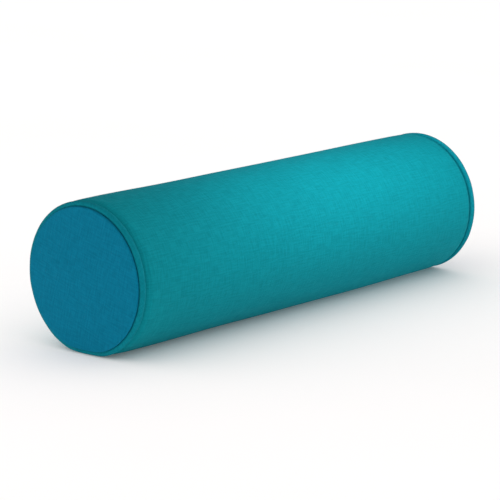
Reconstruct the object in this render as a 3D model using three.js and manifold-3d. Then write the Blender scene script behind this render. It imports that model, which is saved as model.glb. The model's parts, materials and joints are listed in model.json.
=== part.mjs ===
// A round bolster pillow with a piped, zipped cover over a foam insert.
//
// Units are millimetres and +Z is up. The bolster lies along X with its origin on the surface
// that it rests on, below its middle. "Left" is the -X end and "right" is the +X end.
//
// From the outside in: cover (body panel, two end panels, piping, zip), inner casing (liner),
// fibre wadding, foam core. The long zip lies on the back, a little above half height.

import * as THREE from 'three';
import { mergeVertices } from 'three/addons/utils/BufferGeometryUtils.js';
import Module from 'manifold-3d';

const wasm = await Module();
wasm.setup();

// ---------------------------------------------------------------- driving dimensions

const BODY_RADIUS = 75; // outside of the body panel
const LENGTH_OVER_PIPING = 540;
const CROWN = 4; // how far an end panel stands out past its piping
const FABRIC = 0.8; // cover fabric
const GAP = 0.3; // clearance between pieces that touch

const SEGMENTS = 36; // facets round the bolster, with a corner straight down
const FACET_ANGLE = (2 * Math.PI) / SEGMENTS;
const REST_HALF_ANGLE = FACET_ANGLE; // the flattened strip that it lies on
const RIM_START = 255; // beyond here the rim rises to the piping
const RIM_END = 262;

const PIPING_RADIUS = 3;
const PIPING_PROUD = 1.5; // how far the piping stands past the body panel
const PIPING_CORD_RADIUS = 1.8;
const SEAM_INNER_RADIUS = 62; // where the seam allowances end
const SEAM_FOLD_RADIUS = 0.62; // turn of an end panel over its own allowance
const ARC_STEPS = 4; // half the number of steps in an arc

const LINER = 0.5; // thin inner casing
const LINER_RADIUS = 73.3;
const LINER_HALF_LENGTH = 261.5;
const LINER_END_RADIUS = 72.2;
const LINER_END_X = 260.8; // rim of a liner end panel
const LINER_CROWN = 7.2;

const WADDING_RADIUS = 71.9;
const WADDING_END_RADIUS = 71.9;
const WADDING_END_CLEARANCE = 0.65; // behind the liner end panel
const FOAM_RADIUS = 66;
const FOAM_HALF_LENGTH = 252;
const CROWN_STEPS = 4;

const ZIP_TILT = THREE.MathUtils.degToRad(15); // above the horizontal, at the back
const ZIP_SLOT_HALF_LENGTH = 225;
const ZIP_SLOT_HALF_WIDTH = 4.6;
const HEM_EDGE = 12.6; // from the middle of the zip
const TAPE_HALF_LENGTH = 240;
const TAPE_INNER_EDGE = 1.0;
const TAPE_OUTER_EDGE = 13;
const TAPE = 0.6;
const COIL_HALF_LENGTH = 218.4;
const COIL_INNER_EDGE = 0.5;
const COIL_WIDTH = 2;
const COIL_HEIGHT = 1.9;

const SLIDER_HALF_LENGTH = 5.5;
const SLIDER_HALF_WIDTH = 4.2;
const SLIDER_CORNER = 1.5;
const SLIDER_PLATE = 0.9;
const SLIDER_CLOSED_X = -213;
const FLANGE_HALF_LENGTH = 4.4;
const FLANGE_WIDTH = 1.2;
const FLANGE_CLEARANCE = 0.4; // above the tape
const POST_HALF_WIDTH = 0.25;
const POST_FRONT_X = -4.8;
const POST_BACK_X = -1.8;
const BRIDGE_HALF_WIDTH = 0.8;
const BRIDGE_INNER_X = 2.7;
const BRIDGE_OUTER_X = 3.7;
const BRIDGE_BAR = 0.9; // thickness of the bridge's top
const BRIDGE_OUTER_CORNER = 1.2;
const BRIDGE_INNER_CORNER = 0.6;
const WELD = 0.1; // how far joined lumps of one piece run into each other

const PULL_BAR_RADIUS = 0.65;
const PULL_PLATE = 1.0;
const PULL_LENGTH = 22; // from the bar to the tip
const PULL_ARM_INNER = 1.1;
const PULL_ARM_OUTER = 2.3;
const PULL_ARM_START = -0.4;
const PULL_WINDOW_START = -0.2;
const PULL_TAB_HALF_WIDTH = 3.25;
const PULL_WINDOW_END = 4.85;
const PULL_NECK_X = 3.85; // the tab widens from here to its shoulder
const PULL_SHOULDER_X = 6.85;
const PULL_HOLE_X = 18;
const PULL_HOLE_RADIUS = 1.25;
const PULL_TILT = THREE.MathUtils.degToRad(3); // the tab leans towards the fabric

const STOP_INNER_EDGE = 0.15;
const STOP_OUTER_EDGE = 2.4;
const TOP_STOP_X = [-221.5, -218.9];
const BOTTOM_STOP_X = [219, 222];
const BOTTOM_STOP_WEB = 0.65;

// ---------------------------------------------------------------- worked out from those

const AXIS_HEIGHT = BODY_RADIUS * Math.cos(REST_HALF_ANGLE);
const RIM_RADIUS = BODY_RADIUS + PIPING_PROUD;
const PIPING_X = LENGTH_OVER_PIPING / 2 - PIPING_RADIUS;
const PIPING_R = RIM_RADIUS - PIPING_RADIUS;
const COVER_INSIDE = BODY_RADIUS - FABRIC;
const END_FACE_X = LENGTH_OVER_PIPING / 2 + CROWN;

// The four layers of each end seam, from the body panel outwards.
const LAYER_PITCH = FABRIC + GAP;
const layerX = (layer) => PIPING_X + (layer - 1.5) * LAYER_PITCH;
const BODY_ALLOWANCE_X = layerX(0);
const INNER_FLANGE_X = layerX(1);
const OUTER_FLANGE_X = layerX(2);
const END_ALLOWANCE_X = layerX(3);

// Heights through the zip, measured from the bolster's axis.
const HEM_TOP = COVER_INSIDE - GAP;
const HEM_BOTTOM = HEM_TOP - FABRIC;
const TAPE_TOP = HEM_BOTTOM - GAP;
const TAPE_BOTTOM = TAPE_TOP - TAPE;
const COIL_BOTTOM = TAPE_TOP + GAP;
const COIL_TOP = COIL_BOTTOM + COIL_HEIGHT;
const LOWER_PLATE_TOP = TAPE_BOTTOM - GAP;
const LOWER_PLATE_BOTTOM = LOWER_PLATE_TOP - SLIDER_PLATE;
const UPPER_PLATE_BOTTOM = COIL_TOP + GAP;
const UPPER_PLATE_TOP = UPPER_PLATE_BOTTOM + SLIDER_PLATE;
const FLANGE_BOTTOM = TAPE_TOP + FLANGE_CLEARANCE;
const PULL_AXIS = UPPER_PLATE_TOP + GAP + PULL_BAR_RADIUS;
const BRIDGE_UNDERSIDE = PULL_AXIS + PULL_BAR_RADIUS + GAP;
const BRIDGE_TOP = BRIDGE_UNDERSIDE + BRIDGE_BAR;
const ZIP_HOLLOW = LINER_RADIUS - (LOWER_PLATE_BOTTOM - GAP); // the insert gives way by this much
const ZIP_HOLLOW_ANGLE = 2.5 * FACET_ANGLE;
const ZIP_HOLLOW_FULL_ANGLE = 0.5 * FACET_ANGLE;
const ZIP_HOLLOW_FULL_X = 241;
const FACET_WIDTH = 2 * BODY_RADIUS * Math.sin(FACET_ANGLE / 2);
const FOLD_Y = FACET_WIDTH / 2; // where the flat facet under the zip ends
const FACET_DROP = BODY_RADIUS * (1 - Math.cos(FACET_ANGLE / 2)); // its middle lies this far in

// ---------------------------------------------------------------- geometry helpers

const point = (x, y) => new THREE.Vector2(x, y);

// Keeps positions only, joins shared corners and drops triangles that have no area.
function welded(geometry) {
  geometry.deleteAttribute('normal');
  geometry.deleteAttribute('uv');
  const merged = mergeVertices(geometry);
  const kept = [];
  const index = merged.index.array;
  for (let i = 0; i < index.length; i += 3) {
    const [a, b, c] = [index[i], index[i + 1], index[i + 2]];
    if (a !== b && b !== c && c !== a) kept.push(a, b, c);
  }
  merged.setIndex(kept);
  return merged;
}

function signedVolume(geometry) {
  const { position } = geometry.attributes;
  const { array } = geometry.index;
  const [a, b, c] = [new THREE.Vector3(), new THREE.Vector3(), new THREE.Vector3()];
  let volume = 0;
  for (let i = 0; i < array.length; i += 3) {
    a.fromBufferAttribute(position, array[i]);
    b.fromBufferAttribute(position, array[i + 1]);
    c.fromBufferAttribute(position, array[i + 2]);
    volume += a.dot(b.cross(c)) / 6;
  }
  return volume;
}

// A closed body whose faces point outwards.
function closedBody(geometry) {
  const body = welded(geometry);
  if (signedVolume(body) < 0) body.index.array.reverse();
  return body;
}

// Moves every corner of a geometry by a rule that changes a Vector3 in place.
function reshaped(geometry, rule) {
  const { position } = geometry.attributes;
  const corner = new THREE.Vector3();
  for (let i = 0; i < position.count; i += 1) {
    corner.fromBufferAttribute(position, i);
    rule(corner);
    position.setXYZ(i, corner.x, corner.y, corner.z);
  }
  return geometry;
}

// Turns an outline of (x, radius) points about the X axis.
function turned(outline) {
  const profile = outline.map((p) => point(p.y, p.x));
  const touchesAxis = profile[0].x < 1e-6;
  if (!touchesAxis) profile.push(profile[0].clone());
  const geometry = new THREE.LatheGeometry(profile, SEGMENTS);
  geometry.rotateZ(-Math.PI / 2);
  return closedBody(geometry);
}

// The corner of a sheet of fabric at one point of its middle line, offset to one side. A point
// on the bolster's axis stays on it.
function mitred(middle, i, offset) {
  const last = middle.length - 1;
  const before = middle[Math.max(i, 1)].clone().sub(middle[Math.max(i, 1) - 1]).normalize();
  const after = middle[Math.min(i, last - 1) + 1].clone().sub(middle[Math.min(i, last - 1)]).normalize();
  const along = before.add(after).normalize();
  const reach = offset / along.dot(after);
  const radius = middle[i].y === 0 ? 0 : middle[i].y + along.x * reach;
  return point(middle[i].x - along.y * reach, radius);
}

// The closed outline of a sheet of this thickness that follows a path.
function sheet(path, thickness) {
  const middle = path.getPoints(ARC_STEPS);
  const side = (offset) => middle.map((_, i) => mitred(middle, i, offset));
  return [...side(thickness / 2), ...side(-thickness / 2).reverse()];
}

const mirrored = (outline) => outline.map((p) => point(-p.x, p.y));

// Pulls the underside in to the flattened strip that the bolster rests on.
function settled(geometry) {
  return reshaped(geometry, (corner) => {
    const rise = THREE.MathUtils.clamp((Math.abs(corner.x) - RIM_START) / (RIM_END - RIM_START), 0, 1);
    const outside = BODY_RADIUS + rise * PIPING_PROUD;
    const fromBelow = Math.atan2(Math.abs(corner.y), -corner.z);
    if (fromBelow > Math.PI / 4) return;
    const pull = Math.min(1, AXIS_HEIGHT / (outside * Math.cos(fromBelow)));
    corner.y *= pull;
    corner.z = Math.max(corner.z * pull, -AXIS_HEIGHT);
  });
}

// Pushes the insert's surface in behind the zip, for radii above the one given.
function hollowedBehindZip(geometry, innerRadius) {
  return reshaped(geometry, (corner) => {
    const radius = Math.hypot(corner.y, corner.z);
    if (radius < innerRadius) return;
    const away = Math.abs(Math.atan2(corner.z, corner.y) - ZIP_TILT);
    const span = ZIP_HOLLOW_ANGLE - ZIP_HOLLOW_FULL_ANGLE;
    const across = THREE.MathUtils.clamp((ZIP_HOLLOW_ANGLE - away) / span, 0, 1);
    const run = FOAM_HALF_LENGTH - ZIP_HOLLOW_FULL_X;
    const along = THREE.MathUtils.clamp((FOAM_HALF_LENGTH - Math.abs(corner.x)) / run, 0, 1);
    const pull = 1 - (ZIP_HOLLOW * across * along) / radius;
    corner.y *= pull;
    corner.z *= pull;
  });
}

// Bends a piece drawn flat over the zip so that it follows the bolster's facets.
function bentRound(geometry) {
  return reshaped(geometry, (corner) => {
    const facet = Math.abs(corner.y) > FOLD_Y ? Math.sign(corner.y) : 0;
    const across = (corner.y - facet * FACET_WIDTH) * (corner.z / BODY_RADIUS);
    const height = corner.z * Math.cos(FACET_ANGLE / 2);
    const turn = facet * FACET_ANGLE;
    corner.y = across * Math.cos(turn) + height * Math.sin(turn);
    corner.z = height * Math.cos(turn) - across * Math.sin(turn);
  });
}

// Extrudes a (y, z) outline along X.
function alongX(outline, startX, endX) {
  const shape = new THREE.Shape(outline);
  const geometry = new THREE.ExtrudeGeometry(shape, { depth: endX - startX, bevelEnabled: false });
  const [x, y, z] = [new THREE.Vector3(1, 0, 0), new THREE.Vector3(0, 1, 0), new THREE.Vector3(0, 0, 1)];
  geometry.applyMatrix4(new THREE.Matrix4().makeBasis(y, z, x));
  geometry.translate(startX, 0, 0);
  return closedBody(geometry);
}

// Extrudes an (x, y) shape upwards.
function plate(shape, bottom, top, curveSegments = 3) {
  const options = { depth: top - bottom, bevelEnabled: false, curveSegments };
  const geometry = new THREE.ExtrudeGeometry(shape, options);
  geometry.translate(0, 0, bottom);
  return closedBody(geometry);
}

function block([x0, x1], [y0, y1], [z0, z1]) {
  const geometry = new THREE.BoxGeometry(x1 - x0, y1 - y0, z1 - z0);
  geometry.translate((x0 + x1) / 2, (y0 + y1) / 2, (z0 + z1) / 2);
  return closedBody(geometry);
}

function roundedRectangle(halfLength, halfWidth, radius) {
  const shape = new THREE.Shape();
  const [x, y] = [halfLength - radius, halfWidth - radius];
  shape.absarc(x, y, radius, 0, Math.PI / 2);
  shape.absarc(-x, y, radius, Math.PI / 2, Math.PI);
  shape.absarc(-x, -y, radius, Math.PI, 1.5 * Math.PI);
  shape.absarc(x, -y, radius, 1.5 * Math.PI, 2 * Math.PI);
  return shape;
}

function toSolid(geometry) {
  const vertProperties = new Float32Array(geometry.attributes.position.array);
  const triVerts = new Uint32Array(geometry.index.array);
  return new wasm.Manifold(new wasm.Mesh({ numProp: 3, vertProperties, triVerts }));
}

function fromSolid(solid) {
  const { vertProperties, triVerts } = solid.getMesh();
  const geometry = new THREE.BufferGeometry();
  geometry.setAttribute('position', new THREE.BufferAttribute(vertProperties, 3));
  geometry.setIndex(new THREE.BufferAttribute(triVerts, 1));
  return geometry;
}

const joined = (geometries) => fromSolid(geometries.map(toSolid).reduce((a, b) => a.add(b)));

// Turns a piece drawn flat over the zip to its place on the bolster, about the bolster's axis.
const ZIP_TURN = ZIP_TILT - Math.PI / 2;
const atZip = (geometry) => geometry.rotateX(ZIP_TURN);

// ---------------------------------------------------------------- cover

// Half of the body panel's middle line: over the body, round the piping and into the seam.
function bodyPanelEdge() {
  const radius = PIPING_RADIUS + GAP + FABRIC / 2;
  const middleRadius = BODY_RADIUS - FABRIC / 2;
  const arcEnd = Math.acos((BODY_ALLOWANCE_X - PIPING_X) / radius);
  const path = new THREE.Path([point(0, middleRadius), point(RIM_START, middleRadius)]);
  path.lineTo(RIM_END, middleRadius);
  path.quadraticCurveTo(PIPING_X - radius, middleRadius, PIPING_X - radius, PIPING_R);
  path.absarc(PIPING_X, PIPING_R, radius, Math.PI, 2 * Math.PI - arcEnd);
  path.lineTo(BODY_ALLOWANCE_X, SEAM_INNER_RADIUS);
  return path.getPoints(ARC_STEPS / 2);
}

// The hem that the zip's edge is folded into, on one side of the slot.
function zipHem(side) {
  const outline = [
    point(ZIP_SLOT_HALF_WIDTH, HEM_BOTTOM),
    point(FOLD_Y, HEM_BOTTOM),
    point(HEM_EDGE, HEM_BOTTOM),
    point(HEM_EDGE, HEM_TOP),
    point(FOLD_Y, HEM_TOP),
    point(ZIP_SLOT_HALF_WIDTH + FABRIC, HEM_TOP),
    point(ZIP_SLOT_HALF_WIDTH + FABRIC, COVER_INSIDE + GAP),
    point(ZIP_SLOT_HALF_WIDTH, COVER_INSIDE + GAP),
  ];
  const drawn = outline.map((p) => point(side * p.x, p.y));
  const hem = bentRound(alongX(drawn, -ZIP_SLOT_HALF_LENGTH, ZIP_SLOT_HALF_LENGTH));
  return atZip(hem);
}

function bodyPanel() {
  const right = bodyPanelEdge();
  const left = mirrored(right).reverse();
  const middle = new THREE.Path([...left.slice(0, -1), ...right.slice(1)]);
  const tube = settled(turned(sheet(middle, FABRIC)));
  const slotX = [-ZIP_SLOT_HALF_LENGTH, ZIP_SLOT_HALF_LENGTH];
  const slotY = [-ZIP_SLOT_HALF_WIDTH, ZIP_SLOT_HALF_WIDTH];
  const slot = atZip(block(slotX, slotY, [TAPE_TOP, RIM_RADIUS]));
  const opened = toSolid(tube).subtract(toSolid(slot));
  return fromSolid(opened.add(toSolid(zipHem(1))).add(toSolid(zipHem(-1))));
}

// The end panel: crowned disc, folded back at the seam into its allowance.
function endPanelOutline() {
  const foldX = END_ALLOWANCE_X + SEAM_FOLD_RADIUS;
  const foldR = PIPING_R - PIPING_RADIUS - GAP - SEAM_FOLD_RADIUS - FABRIC / 2;
  const rimX = foldX + SEAM_FOLD_RADIUS;
  const apexX = END_FACE_X - FABRIC / 2;
  const path = new THREE.Path([point(apexX, 0)]);
  for (let step = 1; step <= CROWN_STEPS; step += 1) {
    const radius = (foldR * step) / CROWN_STEPS;
    path.lineTo(apexX - (apexX - rimX) * (radius / foldR) ** 2, radius);
  }
  path.absarc(foldX, foldR, SEAM_FOLD_RADIUS, 0, Math.PI);
  path.lineTo(END_ALLOWANCE_X, SEAM_INNER_RADIUS);
  const middle = path.getPoints(ARC_STEPS / 2);
  return sheet(new THREE.Path(middle), FABRIC);
}

// The piping cover: a strip wrapped round the cord, with both edges down into the seam.
function pipingCoverOutline() {
  const radius = PIPING_RADIUS - FABRIC / 2;
  const start = Math.PI + Math.acos((PIPING_X - INNER_FLANGE_X) / radius);
  const end = Math.PI - start;
  const path = new THREE.Path([point(INNER_FLANGE_X, SEAM_INNER_RADIUS)]);
  path.absarc(PIPING_X, PIPING_R, radius, start, end, true);
  path.lineTo(OUTER_FLANGE_X, SEAM_INNER_RADIUS);
  return sheet(path, FABRIC);
}

function pipingCordOutline() {
  const path = new THREE.Path();
  path.absarc(PIPING_X, PIPING_R, PIPING_CORD_RADIUS, 0, 2 * Math.PI);
  return path.getPoints(ARC_STEPS).slice(0, -1);
}

// ---------------------------------------------------------------- insert

// Corners of a tube from one radius to another, with a corner at each change of the surface.
function tubeOutline(innerRadius, outerRadius, stations) {
  const outer = stations.map((x) => point(x, outerRadius));
  const inner = stations.map((x) => point(x, innerRadius)).reverse();
  return [...outer, ...inner];
}

const bothWays = (stations) => [...stations.map((x) => -x).reverse(), ...stations];

function linerBody() {
  const stations = bothWays([ZIP_HOLLOW_FULL_X, FOAM_HALF_LENGTH, RIM_START, LINER_HALF_LENGTH]);
  const tube = turned(tubeOutline(LINER_RADIUS - LINER, LINER_RADIUS, stations));
  return settled(hollowedBehindZip(tube, FOAM_RADIUS));
}

// Points down a crowned face, from the bolster's axis to its rim.
function crownedFace(rimX, crown, rimRadius) {
  const steps = Array.from({ length: CROWN_STEPS + 1 }, (_, i) => i / CROWN_STEPS);
  return steps.map((step) => point(rimX + crown * (1 - step * step), rimRadius * step));
}

function linerEndOutline() {
  return sheet(new THREE.Path(crownedFace(LINER_END_X, LINER_CROWN, LINER_END_RADIUS)), LINER);
}

function waddingWrap() {
  const stations = bothWays([ZIP_HOLLOW_FULL_X, FOAM_HALF_LENGTH]);
  const tube = turned(tubeOutline(FOAM_RADIUS + GAP, WADDING_RADIUS, stations));
  return settled(hollowedBehindZip(tube, FOAM_RADIUS + 2 * GAP));
}

function waddingEndOutline() {
  const innerX = FOAM_HALF_LENGTH + GAP;
  const outer = crownedFace(LINER_END_X - WADDING_END_CLEARANCE, LINER_CROWN, WADDING_END_RADIUS);
  return [...outer, point(innerX, WADDING_END_RADIUS), point(innerX, 0)];
}

function foamCoreOutline() {
  const ends = [-FOAM_HALF_LENGTH, FOAM_HALF_LENGTH];
  return [point(ends[0], 0), point(ends[0], FOAM_RADIUS), point(ends[1], FOAM_RADIUS), point(ends[1], 0)];
}

// ---------------------------------------------------------------- zip
// Zip pieces are drawn flat: x along the bolster, y across the zip (downwards when in place)
// and z outwards from the bolster's axis.

function zipTape(side) {
  const edges = [TAPE_INNER_EDGE, FOLD_Y, TAPE_OUTER_EDGE];
  const top = edges.map((y) => point(side * y, TAPE_TOP));
  const bottom = edges.map((y) => point(side * y, TAPE_BOTTOM)).reverse();
  return bentRound(alongX([...top, ...bottom], -TAPE_HALF_LENGTH, TAPE_HALF_LENGTH));
}

// The outer shape of one row of nylon coil.
function zipCoil(side) {
  const chamfer = COIL_WIDTH * 0.3;
  const outer = COIL_INNER_EDGE + COIL_WIDTH;
  const outline = [
    point(COIL_INNER_EDGE, COIL_BOTTOM),
    point(outer, COIL_BOTTOM),
    point(outer, COIL_TOP - chamfer),
    point(outer - chamfer, COIL_TOP),
    point(COIL_INNER_EDGE + chamfer, COIL_TOP),
    point(COIL_INNER_EDGE, COIL_TOP - chamfer),
  ];
  const drawn = outline.map((p) => point(side * p.x, p.y));
  return bentRound(alongX(drawn, -COIL_HALF_LENGTH, COIL_HALF_LENGTH));
}

// A stop crimped round the inner edge of one tape.
function zipTopStop(side) {
  const web = TAPE_INNER_EDGE - GAP;
  const outline = [
    point(STOP_INNER_EDGE, LOWER_PLATE_BOTTOM),
    point(STOP_OUTER_EDGE, LOWER_PLATE_BOTTOM),
    point(STOP_OUTER_EDGE, LOWER_PLATE_TOP),
    point(web, LOWER_PLATE_TOP),
    point(web, COIL_BOTTOM),
    point(STOP_OUTER_EDGE, COIL_BOTTOM),
    point(STOP_OUTER_EDGE, COIL_BOTTOM + SLIDER_PLATE),
    point(STOP_INNER_EDGE, COIL_BOTTOM + SLIDER_PLATE),
  ];
  const drawn = outline.map((p) => point(side * p.x, p.y));
  return bentRound(alongX(drawn, ...TOP_STOP_X));
}

// The stop that holds both tapes together at the far end, with an H section.
function zipBottomStop() {
  const half = [
    point(BOTTOM_STOP_WEB, COIL_BOTTOM),
    point(STOP_OUTER_EDGE, COIL_BOTTOM),
    point(STOP_OUTER_EDGE, COIL_BOTTOM + SLIDER_PLATE),
  ];
  const lower = [
    point(STOP_OUTER_EDGE, LOWER_PLATE_BOTTOM),
    point(STOP_OUTER_EDGE, LOWER_PLATE_TOP),
    point(BOTTOM_STOP_WEB, LOWER_PLATE_TOP),
  ];
  const right = [...lower, ...half];
  return bentRound(alongX([...right, ...mirrored(right).reverse()], ...BOTTOM_STOP_X));
}

function bridgeShape() {
  const [inner, outer] = [BRIDGE_INNER_X, BRIDGE_OUTER_X];
  const foot = UPPER_PLATE_TOP - WELD;
  const shoulder = BRIDGE_TOP - BRIDGE_OUTER_CORNER;
  const armpit = BRIDGE_UNDERSIDE - BRIDGE_INNER_CORNER;
  const shape = new THREE.Shape([point(-outer, foot), point(-outer, shoulder)]);
  shape.quadraticCurveTo(-outer, BRIDGE_TOP, -outer + BRIDGE_OUTER_CORNER, BRIDGE_TOP);
  shape.lineTo(outer - BRIDGE_OUTER_CORNER, BRIDGE_TOP);
  shape.quadraticCurveTo(outer, BRIDGE_TOP, outer, shoulder);
  shape.lineTo(outer, foot);
  shape.lineTo(inner, foot);
  shape.lineTo(inner, armpit);
  shape.quadraticCurveTo(inner, BRIDGE_UNDERSIDE, inner - BRIDGE_INNER_CORNER, BRIDGE_UNDERSIDE);
  shape.lineTo(-inner + BRIDGE_INNER_CORNER, BRIDGE_UNDERSIDE);
  shape.quadraticCurveTo(-inner, BRIDGE_UNDERSIDE, -inner, armpit);
  shape.lineTo(-inner, foot);
  return shape;
}

// The bridge over the slider that the pull hangs on.
function zipBridge() {
  const bridge = plate(bridgeShape(), 0, 2 * BRIDGE_HALF_WIDTH);
  bridge.rotateX(Math.PI / 2);
  return bridge.translate(0, BRIDGE_HALF_WIDTH, 0);
}

function zipSlider() {
  const outline = roundedRectangle(SLIDER_HALF_LENGTH, SLIDER_HALF_WIDTH, SLIDER_CORNER);
  const upper = plate(outline, UPPER_PLATE_BOTTOM, UPPER_PLATE_TOP);
  const lower = plate(outline, LOWER_PLATE_BOTTOM, LOWER_PLATE_TOP);
  const postZ = [LOWER_PLATE_TOP - WELD, UPPER_PLATE_BOTTOM + WELD];
  const post = block([POST_FRONT_X, POST_BACK_X], [-POST_HALF_WIDTH, POST_HALF_WIDTH], postZ);
  const flanges = [-1, 1].map((side) => {
    const outer = side * SLIDER_HALF_WIDTH;
    const inner = side * (SLIDER_HALF_WIDTH - FLANGE_WIDTH);
    const y = [Math.min(inner, outer), Math.max(inner, outer)];
    const z = [FLANGE_BOTTOM, UPPER_PLATE_BOTTOM + WELD];
    return block([-FLANGE_HALF_LENGTH, FLANGE_HALF_LENGTH], y, z);
  });
  return joined([upper, lower, post, ...flanges, zipBridge()]);
}

function pullShape() {
  const shape = new THREE.Shape();
  shape.moveTo(PULL_ARM_START, PULL_ARM_OUTER);
  shape.lineTo(PULL_ARM_START, -PULL_ARM_OUTER);
  shape.lineTo(PULL_NECK_X, -PULL_ARM_OUTER);
  shape.lineTo(PULL_SHOULDER_X, -PULL_TAB_HALF_WIDTH);
  shape.absarc(PULL_LENGTH - PULL_TAB_HALF_WIDTH, 0, PULL_TAB_HALF_WIDTH, -Math.PI / 2, Math.PI / 2);
  shape.lineTo(PULL_SHOULDER_X, PULL_TAB_HALF_WIDTH);
  shape.lineTo(PULL_NECK_X, PULL_ARM_OUTER);
  const window = [
    point(PULL_WINDOW_START, -PULL_ARM_INNER),
    point(PULL_WINDOW_END, -PULL_ARM_INNER),
    point(PULL_WINDOW_END, PULL_ARM_INNER),
    point(PULL_WINDOW_START, PULL_ARM_INNER),
  ];
  const hole = new THREE.Path();
  hole.absarc(PULL_HOLE_X, 0, PULL_HOLE_RADIUS, 0, 2 * Math.PI);
  shape.holes.push(new THREE.Path(window), hole);
  return shape;
}

// The pull tab, drawn about its own cross bar.
function zipPull() {
  const tab = plate(pullShape(), -PULL_PLATE / 2, PULL_PLATE / 2, 5);
  const bar = new THREE.CylinderGeometry(PULL_BAR_RADIUS, PULL_BAR_RADIUS, 2 * PULL_ARM_OUTER, 10);
  return joined([tab, closedBody(bar)]);
}

// ---------------------------------------------------------------- scene graph

const FINISHES = {
  cover: { color: 0x1d8e96, roughness: 0.9, metalness: 0 },
  endPanel: { color: 0x157c93, roughness: 0.9, metalness: 0 },
  cord: { color: 0xe9e4d8, roughness: 0.95, metalness: 0 },
  liner: { color: 0xf1efe9, roughness: 0.95, metalness: 0 },
  wadding: { color: 0xf7f7f4, roughness: 1, metalness: 0 },
  foam: { color: 0xf0e2b4, roughness: 0.95, metalness: 0 },
  tape: { color: 0x1b7f88, roughness: 0.85, metalness: 0 },
  coil: { color: 0x1f8c95, roughness: 0.45, metalness: 0 },
  metal: { color: 0xb9bcc0, roughness: 0.3, metalness: 1 },
};

function named(name, geometry, finish) {
  const mesh = new THREE.Mesh(geometry, new THREE.MeshStandardMaterial(FINISHES[finish]));
  mesh.name = name;
  return mesh;
}

// One turned piece at each end of the bolster.
function atBothEnds(name, outline, finish) {
  return [
    named(`${name}_left`, settled(turned(mirrored(outline))), finish),
    named(`${name}_right`, settled(turned(outline)), finish),
  ];
}

const cover = new THREE.Group();
cover.add(named('body_panel', bodyPanel(), 'cover'));
cover.add(...atBothEnds('end_panel', endPanelOutline(), 'endPanel'));
cover.add(...atBothEnds('piping_cover', pipingCoverOutline(), 'cover'));
cover.add(...atBothEnds('piping_cord', pipingCordOutline(), 'cord'));

const insert = new THREE.Group();
insert.add(named('liner_body', linerBody(), 'liner'));
insert.add(...atBothEnds('liner_end', linerEndOutline(), 'liner'));
insert.add(named('wadding_wrap', waddingWrap(), 'wadding'));
insert.add(...atBothEnds('wadding_end', waddingEndOutline(), 'wadding'));
insert.add(named('foam_core', settled(turned(foamCoreOutline())), 'foam'));

const slider = new THREE.Group();
slider.position.set(SLIDER_CLOSED_X, 0, -FACET_DROP);
slider.add(named('zip_slider', zipSlider(), 'metal'));
const pull = named('zip_pull', zipPull(), 'metal');
pull.position.z = PULL_AXIS;
pull.rotation.y = PULL_TILT;
slider.add(pull);

const zip = new THREE.Group();
zip.rotation.x = ZIP_TURN;
for (const [name, side] of [['upper', -1], ['lower', 1]]) {
  zip.add(named(`zip_tape_${name}`, zipTape(side), 'tape'));
  zip.add(named(`zip_coil_${name}`, zipCoil(side), 'coil'));
  zip.add(named(`zip_top_stop_${name}`, zipTopStop(side), 'metal'));
}
zip.add(named('zip_bottom_stop', zipBottomStop(), 'metal'));
zip.add(slider);

const bolster = new THREE.Group();
bolster.position.z = AXIS_HEIGHT;
bolster.add(cover, insert, zip);

const group = new THREE.Group();
group.add(bolster);

export default group;
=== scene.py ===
"""A piped, zipped bolster cushion with a lined foam insert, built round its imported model.

The file is laid out as an add-on and is run as a script. Lengths are in metres. The bolster lies
along X; its zip runs along the back. Angles round the bolster are counted from the zip and grow
over the top, and heights are distances from the bolster's axis.
"""

import json
import math

import bmesh
import bpy
import numpy as np
from mathutils import Matrix, Vector


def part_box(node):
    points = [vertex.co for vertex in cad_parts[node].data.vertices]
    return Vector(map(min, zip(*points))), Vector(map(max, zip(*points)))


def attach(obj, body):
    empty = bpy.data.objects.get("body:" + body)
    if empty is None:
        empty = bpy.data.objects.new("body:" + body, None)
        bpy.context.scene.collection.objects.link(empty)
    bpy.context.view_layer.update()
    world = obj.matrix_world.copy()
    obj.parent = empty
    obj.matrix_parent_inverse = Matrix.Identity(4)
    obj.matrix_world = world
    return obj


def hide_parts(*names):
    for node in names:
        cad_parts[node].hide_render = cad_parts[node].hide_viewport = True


bl_info = {
    "name": "Piped bolster cushion",
    "version": (1, 0, 0),
    "blender": (4, 5, 0),
    "location": "3D View > Sidebar > Bolster",
    "description": "Builds a piped bolster cushion with a zipped cover and a foam insert",
    "category": "Add Mesh",
}

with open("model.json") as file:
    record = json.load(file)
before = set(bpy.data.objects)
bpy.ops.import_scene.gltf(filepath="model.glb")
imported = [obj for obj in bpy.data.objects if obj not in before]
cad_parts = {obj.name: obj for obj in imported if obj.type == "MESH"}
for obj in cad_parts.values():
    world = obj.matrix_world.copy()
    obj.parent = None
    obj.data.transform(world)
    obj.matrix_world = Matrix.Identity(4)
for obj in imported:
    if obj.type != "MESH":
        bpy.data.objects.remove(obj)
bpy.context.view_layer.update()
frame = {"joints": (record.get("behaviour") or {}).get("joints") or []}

# ---------------------------------------------------------------- sizes from the frame

BODY_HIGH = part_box("body_panel")[1]
PIPING_LOW, PIPING_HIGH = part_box("piping_cover_right")
CORD_LOW, CORD_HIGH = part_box("piping_cord_right")
LINER_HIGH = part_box("liner_body")[1]
LINER_END_LOW, LINER_END_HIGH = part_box("liner_end_right")
WADDING_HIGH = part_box("wadding_wrap")[1]
WADDING_END_LOW, WADDING_END_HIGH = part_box("wadding_end_right")
FOAM_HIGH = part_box("foam_core")[1]
TAPE_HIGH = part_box("zip_tape_upper")[1]
COIL_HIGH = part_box("zip_coil_upper")[1]
TOP_STOP_LOW, TOP_STOP_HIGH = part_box("zip_top_stop_upper")
BOTTOM_STOP_LOW, BOTTOM_STOP_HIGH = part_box("zip_bottom_stop")
SLIDER_LOW, SLIDER_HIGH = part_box("zip_slider")

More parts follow.
